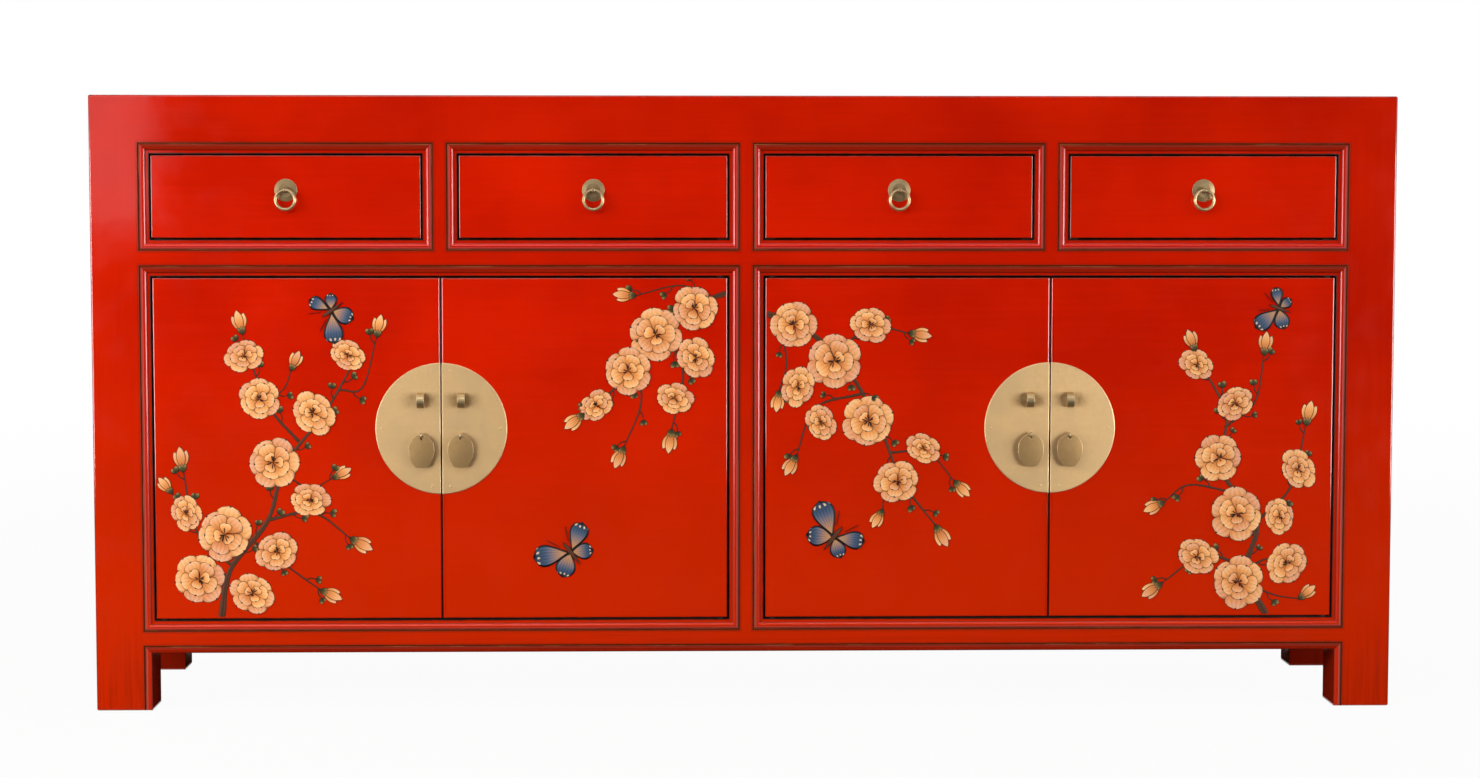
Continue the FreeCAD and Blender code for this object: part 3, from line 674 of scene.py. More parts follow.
@dataclass(frozen=True)
class BeadLacquer:
    """The lacquer of the beads: painted shade on upper strips and flanks, and a worn gilt line at the outer foot.

    Bands run on the share of the bead's width from its outer foot, and that on heights is in metres.
    """

    name: str
    lit: Colour = (0.62, 0.0105, 0.0)
    warm: Colour = (0.62, 0.0230, 0.0)
    dim: Colour = (0.30, 0.0120, 0.0015)
    flank_shade: Colour = (0.17, 0.0110, 0.0030)
    near_black: Colour = (0.020, 0.0090, 0.0040)
    olive: Colour = (0.230, 0.042, 0.008)
    gilt: Colour = (0.42, 0.145, 0.045)
    roughness: float = 0.11
    dull: float = 0.50
    shine: float = 0.34
    waver: float = 0.10
    clouds: float = 0.6
    streak_rough: float = 0.08
    tones: Band = Band(0.85, 0.15)
    warm_heights: Band = Band(0.10, 0.58)
    flank_middle: float = 0.62
    flank_band: Band = Band(0.46, 0.16, 0.75)
    gilt_middle: float = 0.11
    gilt_line: Band = Band(0.02, 0.08, 0.85)
    gilt_patches: Band = Band(0.66, 0.46)
    outer_half: Band = Band(0.38, 0.50)
    inner_edge: Band = Band(0.97, 0.84)
    foot_dirt: Band = Band(0.0, 0.04, 0.6)
    inner_dirt: float = 0.5

    def material(self, effects: Effects) -> bpy.types.Material:
        """Build the lacquer.

        Args:
            effects: The shared effects.

        Returns:
            The material.
        """
        material, g, shader = new_material(self.name)
        marks = effects.brushing.use(g)
        place = g.math("ADD", g.attribute("across"), g.scaled(marks["Ripple"], self.waver, -self.waver / 2))
        level = g.math("ADD", g.attribute("tone"), g.scaled(marks["Cloud"], self.clouds, -self.clouds / 2))
        red = g.mix(self.warm_heights.mask(g, g.axes(g.place())[2]), self.lit, self.warm)
        # painted shade by strip: each strip's tone, with cloudy noise, turns the lit red into the dim one
        colour = g.mix(self.tones.mask(g, level), self.dim, red)
        # painted shade on the flanks of the bead, away from its lit middle
        colour = g.mix(self.flank_band.mask(g, g.off(place, self.flank_middle)), colour, self.flank_shade)
        gilding = g.mix(self.gilt_patches.mask(g, marks["Patch"]), self.olive, self.gilt)
        colour = g.mix(self.gilt_line.mask(g, g.off(place, self.gilt_middle)), colour, gilding)
        inner = self.inner_edge.mask(g, place)
        dark = g.math("MAXIMUM", self.foot_dirt.mask(g, place), g.scaled(inner, self.inner_dirt))
        g.feed(shader.inputs["Base Color"], g.mix(dark, colour, self.near_black))
        worn = g.scaled(g.math("MAXIMUM", self.outer_half.mask(g, place), inner), self.dull)
        streaky = g.scaled(marks["Streak"], self.streak_rough, self.roughness)
        g.feed(shader.inputs["Roughness"], g.math("ADD", streaky, worn))
        g.feed(shader.inputs["Normal"], g.bump(marks["Ripple"], strength=0.3, distance=0.35 * MM))
        shader.inputs["Specular IOR Level"].default_value = self.shine
        return material


@dataclass(frozen=True)
class Wood:
    """Plain sawn wood with a thin stain, on a wide panel as boards of one width."""

    name: str
    run: Run
    early: Colour
    late: Colour
    roughness: float = 0.55
    board: float | None = None
    joint: float = 0.7 * MM
    joint_depth: float = 0.7
    boards_apart: float = 37.0
    board_shift: float = 9.0
    board_tones: Point = (0.55, 0.72)
    grain_scale: float = 0.45
    pore_depth: float = 0.30
    pore_rough: float = 0.15
    pores: Band = Band(0.62, 0.42)
    end_faces: Band = Band(0.8, 0.6)

    def boards(self, graph: Graph) -> tuple[Socket, Socket]:
        """Return a chance value for each level board of a wide panel, and 1 along the joints between boards.

        The board is the whole part of the height over a board's width, counted on from one panel to the next.

        Args:
            graph: The material's graph.

        Returns:
            The chance value and the joints.
        """
        x, _, z = graph.axes(graph.place())
        count = graph.math("DIVIDE", z, self.board)
        number = graph.scaled(graph.math("GREATER_THAN", x, 0.0), self.boards_apart, graph.math("FLOOR", count))
        chance = graph.add("ShaderNodeTexWhiteNoise", {"W": number}, noise_dimensions="1D").outputs["Value"]
        edge = graph.scaled(graph.math("PINGPONG", count, 0.5), self.board)
        near = graph.math("MINIMUM", edge, graph.math("ABSOLUTE", x))
        return chance, graph.fade(near, self.joint, 2 * self.joint)

    def sawn(self, effects: Effects, graph: Graph, run: Run, shift: Feed = 0.0) -> tuple[Socket, Socket]:
        """Draw one board.

        Args:
            effects: The shared effects.
            graph: The material's graph.
            run: The way of the grain.
            shift: How far the grain is moved along.

        Returns:
            The colour of the wood, and its pores.
        """
        grain = effects.grain.use(graph, Stretch=tuple(part * self.grain_scale for part in run.value), Shift=shift)
        pores = self.pores.mask(graph, grain["Pore"])
        colour = graph.mix(grain["Ring"], self.early, self.late)
        return graph.shade(colour, graph.scaled(pores, -self.pore_depth, 1.0)), pores

    def boarded(self, effects: Effects, graph: Graph) -> tuple[Socket, Socket]:
        """Draw a wide panel: each board has its own tone and grain, and the joints are dark.

        Args:
            effects: The shared effects.
            graph: The material's graph.

        Returns:
            The colour of the wood, and its pores.
        """
        chance, joint = self.boards(graph)
        colour, pores = self.sawn(effects, graph, self.run, graph.scaled(chance, self.board_shift))
        tone, joined = graph.scaled(chance, *self.board_tones), graph.scaled(joint, -self.joint_depth, 1.0)
        return graph.shade(colour, graph.math("MULTIPLY", tone, joined)), pores

    def material(self, effects: Effects) -> bpy.types.Material:
        """Build the wood, with boards that stand across a deep run grained level.

        Args:
            effects: The shared effects.

        Returns:
            The material.
        """
        material, g, shader = new_material(self.name)
        colour, pores = self.boarded(effects, g) if self.board else self.sawn(effects, g, self.run)
        if self.run is Run.DEEP:
            turned, _ = self.sawn(effects, g, Run.LEVEL)
            across = g.math("ABSOLUTE", g.axes(g.facing())[1])
            colour = g.mix(self.end_faces.mask(g, across), colour, turned)
        g.feed(shader.inputs["Base Color"], colour)
        g.feed(shader.inputs["Roughness"], g.scaled(pores, self.pore_rough, self.roughness))
        g.feed(shader.inputs["Normal"], g.bump(pores, strength=0.25, distance=0.25 * MM))
        return material


@dataclass(frozen=True)
class Brass:
    """Satin brass, polished level, with a little tarnish, and bare worn edges lightened as a painted highlight."""

    name: str
    clean: Colour
    dull: Colour
    roughness: float
    staple_shadow_and_rub: bool = False
    metal: float = 0.82
    dirt_and_shadow: Colour = (0.36, 0.205, 0.080)
    # painted highlight with wear: the near-white colour of the edges
    bare: Colour = (1.0, 0.86, 0.60)
    patch_side: float = 28.0 * MM
    patch_rise: float = 39.0 * MM
    patch_wide: Band = Band(4 * MM, 34 * MM)
    patch_high: Band = Band(3 * MM, 14 * MM)
    patch_least: float = 0.45
    tarnish: Band = Band(0.72, 0.36)
    tarnish_rough: float = 0.10
    line_tones: Point = (0.10, 0.95)
    line_rough: float = 0.08
    eased: float = 0.7 * MM

    def shade_and_rub(self, graph: Graph, tarnish: Socket) -> Socket:
        """Find the darker patch round each staple: part painted shadow of the staple, part rubbed dull by a lock bar.

        Args:
            graph: The material's graph.
            tarnish: The tarnish, which breaks up the patch.

        Returns:
            The mask.
        """
        low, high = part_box("door_4_lock_plate")
        x, _, z = graph.axes(graph.place())
        beside = graph.off(graph.off(graph.math("ABSOLUTE", x), FrameLines().meeting()), self.patch_side)
        above = graph.off(z, (low.z + high.z) / 2 + self.patch_rise)
        patch = graph.math("MULTIPLY", self.patch_wide.mask(graph, beside), self.patch_high.mask(graph, above))
        return graph.math("MULTIPLY", patch, graph.math("ADD", tarnish, self.patch_least), clamp=True)

    def material(self, effects: Effects) -> bpy.types.Material:
        """Build the brass.

        Args:
            effects: The shared effects.

        Returns:
            The material.
        """
        material, g, shader = new_material(self.name)
        polish = effects.polish.use(g)
        tarnish = self.tarnish.mask(g, polish["Tarnish"])
        colour = g.mix(tarnish, self.clean, self.dull)
        if self.staple_shadow_and_rub:
            # painted shadow round each staple, mixed with rubbing by the lock bar
            colour = g.mix(self.shade_and_rub(g, tarnish), colour, self.dirt_and_shadow)
        # painted highlight with wear: the edges lightened to near-white brass
        colour = g.mix(effects.lit_and_worn_edges.use(g, Radius=self.eased)["Edge"], colour, self.bare)
        g.feed(shader.inputs["Base Color"], g.shade(colour, g.scaled(polish["Line"], *self.line_tones)))
        shader.inputs["Metallic"].default_value = self.metal
        rough = g.scaled(tarnish, self.tarnish_rough, self.roughness)
        g.feed(shader.inputs["Roughness"], g.scaled(polish["Line"], self.line_rough, rough))
        lined = g.bump(polish["Line"], strength=0.08, distance=0.08 * MM, eased=self.eased)
        g.feed(shader.inputs["Normal"], lined)
        return material


@dataclass(frozen=True)
class Paint:
    """Oil colour laid on by brush: a tone from the root to the tip of each stroke, with a drawn outline."""

    name: str
    root: Colour
    middle: Colour
    tip: Colour
    outline: Colour
    outline_width: float = 0.55
    lines: float = 15.0
    vein_depth: float = 0.16
    spots: Colour | None = None
    blush: Colour | None = None
    shine: float = 0.15
    levels: Point = (0.36, 0.84)
    fleck_depth: float = 0.10
    fleck_rough: Point = (0.20, 0.42)
    root_part: Band = Band(0.05, 0.72)
    tip_part: Band = Band(1.0, 0.50)
    blush_tones: Band = Band(0.15, 0.75, 0.8)
    border: Band = Band(1.6, 3.4)
    spot_middle: float = 0.86
    spot_ring: Band = Band(0.02, 0.055)
    spot_waves: float = 11.0
    spot_beat: Band = Band(0.6, 0.1)

    def spotted(self, graph: Graph, colour: Socket) -> Socket:
        """Give a stroke a dark border with a row of pale spots on it.

        Args:
            graph: The material's graph.
            colour: The colour of the stroke.

        Returns:
            The colour with border and spots.
        """
        colour = graph.mix(self.border.mask(graph, graph.attribute("rim")), colour, self.outline)
        ring = self.spot_ring.mask(graph, graph.off(graph.attribute("along"), self.spot_middle))
        wave = graph.math("SINE", graph.scaled(graph.attribute("across"), self.spot_waves))
        return graph.mix(graph.math("MULTIPLY", ring, self.spot_beat.mask(graph, wave)), colour, self.spots)

    def material(self, effects: Effects) -> bpy.types.Material:
        """Build the paint.

        Args:
            effects: The shared effects.

        Returns:
            The material.
        """
        material, g, shader = new_material(self.name)
        stroke = effects.stroke.use(g, Outline=self.outline_width, Lines=self.lines)
        along, tone = g.attribute("along"), g.attribute("tone")
        colour = g.mix(self.root_part.mask(g, along), self.middle, self.root)
        colour = g.mix(self.tip_part.mask(g, along), colour, self.tip)
        if self.blush is not None:
            colour = g.mix(self.blush_tones.mask(g, tone), colour, g.stretched(colour, self.blush))
        level = g.chain(
            "ADD",
            g.scaled(tone, *self.levels),
            g.scaled(stroke["Vein"], -self.vein_depth),
            g.scaled(stroke["Fleck"], self.fleck_depth),
        )
        colour = g.shade(colour, level)
        if self.spots is not None:
            colour = self.spotted(g, colour)
        g.feed(shader.inputs["Base Color"], g.mix(stroke["Edge"], colour, self.outline))
        g.feed(shader.inputs["Roughness"], g.scaled(stroke["Fleck"], *self.fleck_rough))
        g.feed(shader.inputs["Normal"], g.bump(stroke["Vein"], strength=0.10, distance=0.10 * MM))
        shader.inputs["Specular IOR Level"].default_value = self.shine
        return material


@dataclass
class Finishes:
    """Every material of the sideboard, built once."""

    effects: Effects
    dark_stain: tuple[Colour, Colour] = ((0.105, 0.042, 0.018), (0.052, 0.020, 0.010))
    made: dict[str, bpy.types.Material] = field(default_factory=dict)

    def build(self) -> "Finishes":
        """Build all finishes.

        Returns:
            The finishes themselves.
        """
        leaf_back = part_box("door_1_battens")[0].y
        kinds = [
            Lacquer("lacquer_level", Run.LEVEL),
            Lacquer("lacquer_upright", Run.UPRIGHT),
            Lacquer("lacquer_deep", Run.DEEP),
            # painted shade: the rear legs take a darker copy of the lacquer, as under the carcase
            Lacquer("lacquer_rear_shaded", Run.UPRIGHT, (0.29, 0.0060, 0.0), (0.42, 0.0105, 0.0), (0.31, 0.0110, 0.0)),
            Lacquer(
                "lacquer_leaf", Run.LEVEL, (0.53, 0.0075, 0.0), (0.71, 0.0130, 0.0), stained_from=leaf_back - 1.5 * MM
            ),
            BeadLacquer("lacquer_bead"),
            BeadLacquer("lacquer_upper_bead", shine=0.08),
            Wood("inside_level", Run.LEVEL, *self.dark_stain),
            Wood("back_boards", Run.LEVEL, *self.dark_stain, board=97 * MM),
            Wood("inside_deep", Run.DEEP, *self.dark_stain),
            Wood("drawer_deep", Run.DEEP, (0.42, 0.245, 0.115), (0.30, 0.160, 0.070)),
            Brass("plate_brass", (0.74, 0.490, 0.235), (0.65, 0.425, 0.195), 0.40, True, eased=1.2 * MM),
            Brass("brass", (0.52, 0.380, 0.195), (0.40, 0.280, 0.130), 0.30),
            Brass("mount_brass", (0.30, 0.210, 0.105), (0.24, 0.160, 0.075), 0.42),
            Brass("aged_brass", (0.48, 0.300, 0.125), (0.36, 0.215, 0.085), 0.36),
            Paint(
                "petal", (0.58, 0.150, 0.018), (0.88, 0.38, 0.110), (0.94, 0.54, 0.250), (0.070, 0.020, 0.005), 0.6,
                blush=(0.98, 0.82, 1.15),
            ),
            Paint(
                "twig", (0.105, 0.034, 0.012), (0.120, 0.040, 0.014), (0.140, 0.046, 0.018), (0.014, 0.006, 0.003),
                0.35, 5.0, 0.45,
            ),
            Paint(
                "bud_cup", (0.020, 0.022, 0.005), (0.085, 0.070, 0.014), (0.46, 0.26, 0.090), (0.014, 0.009, 0.003),
                0.5,
            ),
            Paint(
                "wing", (0.66, 0.32, 0.130), (0.070, 0.125, 0.215), (0.022, 0.040, 0.085), (0.008, 0.007, 0.009),
                0.6, 22.0, 0.35, (0.72, 0.55, 0.38),
            ),
        ]
        for kind in kinds:
            self.made[kind.name] = kind.material(self.effects)
        return self

    def __getitem__(self, name: str) -> bpy.types.Material:
        """Return one finish by its name."""
        return self.made[name]


def dress(nodes: Iterable[str], material: bpy.types.Material) -> None:
    """Give CAD nodes a finish.

    Args:
        nodes: The nodes' names.
        material: Their finish.
    """
    for name in nodes:
        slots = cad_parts[name].data.materials
        slots.clear()
        slots.append(material)
        LOG.info("dressed %s in %s", name, material.name)


@dataclass
class Sheets:
    """Points, four-sided faces and point values of a mesh that is put together from grids."""

    points: list[Array] = field(default_factory=list)
    faces: list[Array] = field(default_factory=list)
    values: dict[str, list[Array]] = field(default_factory=dict)
    count: int = 0
    least_area: float = 1e-10

    def add(self, grids: Array, **values: Array) -> None:
        """Add a stack of grids.

        Faces join each point of a grid to its neighbours: (i, j), (i+1, j), (i+1, j+1), (i, j+1).

        Args:
            grids: Points, as (grid, row, column, 3).
            values: A value for each point, as (grid, row, column).
        """
        stack, rows, columns = grids.shape[:3]
        index = np.arange(stack * rows * columns).reshape(stack, rows, columns) + self.count
        corners = [index[:, :-1, :-1], index[:, 1:, :-1], index[:, 1:, 1:], index[:, :-1, 1:]]
        self.points.append(grids.reshape(-1, 3))
        self.faces.append(np.stack(corners, axis=-1).reshape(-1, 4))
        self.count += stack * rows * columns
        for key, value in values.items():
            self.values.setdefault(key, []).append(np.broadcast_to(value, grids.shape[:3]).reshape(-1))

    def piece(self, name: str, material: bpy.types.Material, body: str) -> bpy.types.Object:
        """Make the mesh, without faces that have no area, and let it ride on a body.

        Args:
            name: The piece's name.
            material: Its finish.
            body: The CAD body that it moves with.

        Returns:
            The new object.
        """
        points, faces = np.concatenate(self.points), np.concatenate(self.faces)
        arms = points[faces[:, 1:]] - points[faces[:, :1]]
        halves = np.cross(arms[:, :2], arms[:, 1:])
        faces = faces[np.linalg.norm(halves, axis=2).sum(axis=1) > self.least_area]
        used, inverse = np.unique(faces, return_inverse=True)
        mesh = bpy.data.meshes.new(name)
        mesh.from_pydata(points[used].tolist(), [], inverse.reshape(faces.shape).tolist())
        for key, parts in self.values.items():
            data = np.concatenate(parts)[used].astype(np.float32)
            mesh.attributes.new(key, "FLOAT", "POINT").data.foreach_set("value", data)
        mesh.polygons.foreach_set("use_smooth", np.ones(len(mesh.polygons), dtype=bool))
        mesh.materials.append(material)
        mesh.update()
        piece = bpy.data.objects.new(name, mesh)
        bpy.context.scene.collection.objects.link(piece)
        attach(piece, body)
        LOG.info("made %s: %d faces on %s", name, len(mesh.polygons), body)
        return piece


@dataclass(frozen=True)
class Canvas:
    """The painted face of one door, with its place on the pair."""

    door: int
    meeting: float
    foot: float
    face: float
    low: Point
    high: Point

    def lay(self, across: Array, rise: Array, height: Array) -> Array:
        """Put points of the pair's picture on this door, cut off straight at the door's edges.

        Args:
            across: Millimetres to the right of the meeting line.
            rise: Millimetres above the foot of the doors.
            height: Millimetres that the paint stands off the door.

        Returns:
            The points in metres, with a last axis of three.
        """
        x = np.clip(self.meeting + across * MM, self.low[0], self.high[0])
        z = np.clip(self.foot + rise * MM, self.low[1], self.high[1])
        return np.stack([x, np.broadcast_to(self.face - height * MM, x.shape), z], axis=-1)


def doubled_ends(low: float, high: float, count: int) -> Array:
    """Return even steps with both ends twice, so that a grid has a rim that can go down to the door."""
    steps = np.linspace(low, high, count)
    return np.concatenate([steps[:1], steps, steps[-1:]])


@dataclass
class Strokes:
    """Many petals, leaves or wings, each one row of numbers."""

    rows: list[Array] = field(default_factory=list)
    steps: int = 9
    sides: int = PAINT_SIDES

    def add(
        self, centre: Point, turn: Numbers, start: Numbers, length: Numbers, width: Numbers, layer: Numbers,
        tone: Numbers, lean: float = 1.0, lean_turn: float = 0.0, full: float = 1.5, notch: float = 0.05,
        blunt: float = 0.62,
    ) -> None:
        """Add strokes of one flower, bud or butterfly; values may be arrays of one length, or single numbers.

        Args:
            centre: Its middle, in millimetres.
            turn: Way of the stroke, in radians from level, anticlockwise.
            start: How far from the middle the stroke begins.
            length: Its length.
            width: Half of its greatest width.
            layer: How far it stands off the door.
            tone: Its lightness from 0 to 1.
            lean: How far the flower is turned away: 1 is full face.
            lean_turn: The way in which it is turned away.
            full: Where along the stroke it is widest; larger is nearer the tip.
            notch: How deep its tip is notched, as a share of its length.
            blunt: How round its ends are; smaller is rounder.
        """
        parts = [*centre, turn, start, length, width, layer, tone, lean, lean_turn, full, notch, blunt]
        self.rows.append(np.stack(np.broadcast_arrays(*[np.atleast_1d(p) for p in parts]), axis=-1))

    def lay(self, sheets: Sheets, canvas: Canvas, dome: float = 0.12) -> None:
        """Build the strokes that touch a door.

        With u from 0 at the root to 1 at the tip and v from -1 to 1 across, a stroke is as wide as its half width
        times sin(pi u^full)^blunt, its tip is drawn in at v = 0 by the notch, and it is domed as (1 - v^2) sin(pi u).
        Rows and columns round it go down to the door, so that it is a raised patch of paint. The flower's lean
        squeezes it along one way.

        Args:
            sheets: Where the grids go.
            canvas: The door.
            dome: Height of the dome in millimetres.
        """
        table = np.concatenate(self.rows)
        inside = canvas.meeting + table[:, 0] * MM
        reach = (table[:, 3] + table[:, 4] + table[:, 5]) * MM
        table = table[(inside + reach > canvas.low[0]) & (inside - reach < canvas.high[0])]
        if not len(table):
            return
        columns = [column[:, None, None] for column in table.T]
        cx, cz, turn, start, length, width, layer, tone, lean, lean_turn, full, notch, blunt = columns
        u = doubled_ends(0.0, 1.0, self.steps)[None, :, None]
        v = doubled_ends(-1.0, 1.0, self.sides)[None, None, :]
        spread = width * np.sin(np.pi * u**full).clip(0.0) ** blunt
        along = start + length * u * (1.0 - notch * u**6 * (1.0 - np.abs(v)) ** 2)
        across = spread * v
        a = along * np.cos(turn) - across * np.sin(turn)
        b = along * np.sin(turn) + across * np.cos(turn)
        c, s = np.cos(lean_turn), np.sin(lean_turn)
        near, far = (a * c + b * s) * lean, b * c - a * s
        px, pz = near * c - far * s, near * s + far * c
        height = layer + dome * (1.0 - v**2) * np.sin(np.pi * u)
        skirt = np.zeros(height.shape, bool)
        skirt[:, [0, -1], :] = True
        skirt[:, :, [0, -1]] = True
        height = np.where(skirt, PAINT_FOOT, height)
        rim = np.minimum((1.0 - np.abs(v)) * spread, np.minimum((1.0 - u) * length * 0.8, u * length + 0.4))
        sheets.add(
            canvas.lay(cx + px, cz + pz, height),
            rim=np.where(skirt, 0.0, rim), along=u, across=v, tone=tone,
        )


@dataclass(frozen=True)
class Bough:
    """A painted branch or twig through a few points, in millimetres on the pair of doors."""

    through: tuple[Point, ...]
    root: float
    tip: float
    swell: float = 0.16
    swell_waves: Point = (41.0, 17.0)
    twigs_between: Point = (0.28, 0.94)
    twig_turn: float = 0.95
    twig_bend: float = 0.55
    twig_ends: Point = (1.9, 1.3)

    def line(self, steps: int = 60) -> tuple[Array, Array]:
        """Return points along the branch and its half width there.

        The line is a smooth curve through the points: on each span a cubic of the span's ends and their neighbours.
        The width goes evenly from root to tip, times 1 plus a swell of two sines that differ in wave length.

        Args:
            steps: How many points are made.

        Returns:
            The points as (steps, 2), and the half widths.
        """
        knots = np.array(self.through, float)
        knots = np.concatenate([2 * knots[:1] - knots[1:2], knots, 2 * knots[-1:] - knots[-2:-1]])
        t = np.linspace(0.0, len(self.through) - 1 - 1e-9, steps)
        i = t.astype(int)
        f = (t - i)[:, None]
        p0, p1, p2, p3 = (knots[i + k] for k in range(4))
        points = 0.5 * (
            2 * p1 + (p2 - p0) * f + (2 * p0 - 5 * p1 + 4 * p2 - p3) * f**2 + (3 * p1 - p0 - 3 * p2 + p3) * f**3
        )
        share = np.linspace(0.0, 1.0, steps)
        short, long = self.swell_waves
        swelling = 1.0 + self.swell * np.sin(share * short) * np.sin(share * long + 1.0)
        return points, (self.root + (self.tip - self.root) * share) * swelling / 2

    def side_twigs(self, spacing: float, length: float) -> list["Bough"]:
        """Return short twigs that leave the branch to its right and left in turn, and then bend along it.

        Args:
            spacing: How far apart they are, in millimetres.
            length: Their length in millimetres.

        Returns:
            The twigs.
        """
        points, _ = self.line()
        total = np.linalg.norm(np.diff(points, axis=0), axis=1).sum()
        count = max(1, int(total / spacing))
        rows = (np.linspace(*self.twigs_between, count) * (len(points) - 1)).astype(int)
        way = np.gradient(points, axis=0)[rows]
        side = np.where(np.arange(count) % 2, 1.0, -1.0)
        turn = np.arctan2(way[:, 1], way[:, 0]) + self.twig_turn * side
        bend = turn - self.twig_bend * side
        elbow = points[rows] + 0.5 * length * np.stack([np.cos(turn), np.sin(turn)], axis=1)
        end = elbow + 0.5 * length * np.stack([np.cos(bend), np.sin(bend)], axis=1)
        spines = zip(points[rows], elbow, end)
        return [Bough(tuple(tuple(point) for point in spine), *self.twig_ends) for spine in spines]

    def lay(self, sheets: Sheets, canvas: Canvas, layer: float, rise: float = 0.3) -> None:
        """Build the branch on a door: a low half round, rise times sqrt(1 - v^2), carried along the line.

        Args:
            sheets: Where the grid goes.
            canvas: The door.
            layer: How far its rim stands off the door, in millimetres.
            rise: Height of the half round in millimetres.
        """
        points, half = self.line()
        way = np.gradient(points, axis=0)
        way /= np.linalg.norm(way, axis=1, keepdims=True)
        beside = np.stack([-way[:, 1], way[:, 0]], axis=1)
        v = doubled_ends(-1.0, 1.0, PAINT_SIDES)
        spread = half[:, None] * v
        height = layer + rise * np.sqrt(1.0 - v**2) * np.ones_like(spread)
        height[:, [0, -1]] = PAINT_FOOT
        height[[0, -1], :] = PAINT_FOOT
        across = points[:, None, 0] + beside[:, None, 0] * spread
        up = points[:, None, 1] + beside[:, None, 1] * spread
        rim = (1.0 - np.abs(v)) * half[:, None]
        sheets.add(
            canvas.lay(across, up, height)[None],
            rim=rim[None], along=np.linspace(0.0, 1.0, len(points))[None, :, None], across=v[None, None, :],
            tone=(0.5 + 0.5 * v)[None, None, :],
        )


@dataclass(frozen=True)
class Flower:
    """An open flower: its middle in millimetres, its radius, how far it is turned away and which way."""

    middle: Point
    radius: float
    turn: float
    lean: float = 1.0
    lean_turn: float = 90.0


@dataclass(frozen=True)
class Bud:
    """A closed bud: its foot in millimetres, its length and the way in which it points, in degrees."""

    foot: Point
    length: float
    turn: float


@dataclass(frozen=True)
class Flyer:
    """A butterfly: its middle in millimetres, its half span, its heading in degrees and how far one side is folded."""

    middle: Point
    span: float
    heading: float
    fold: float = 0.8


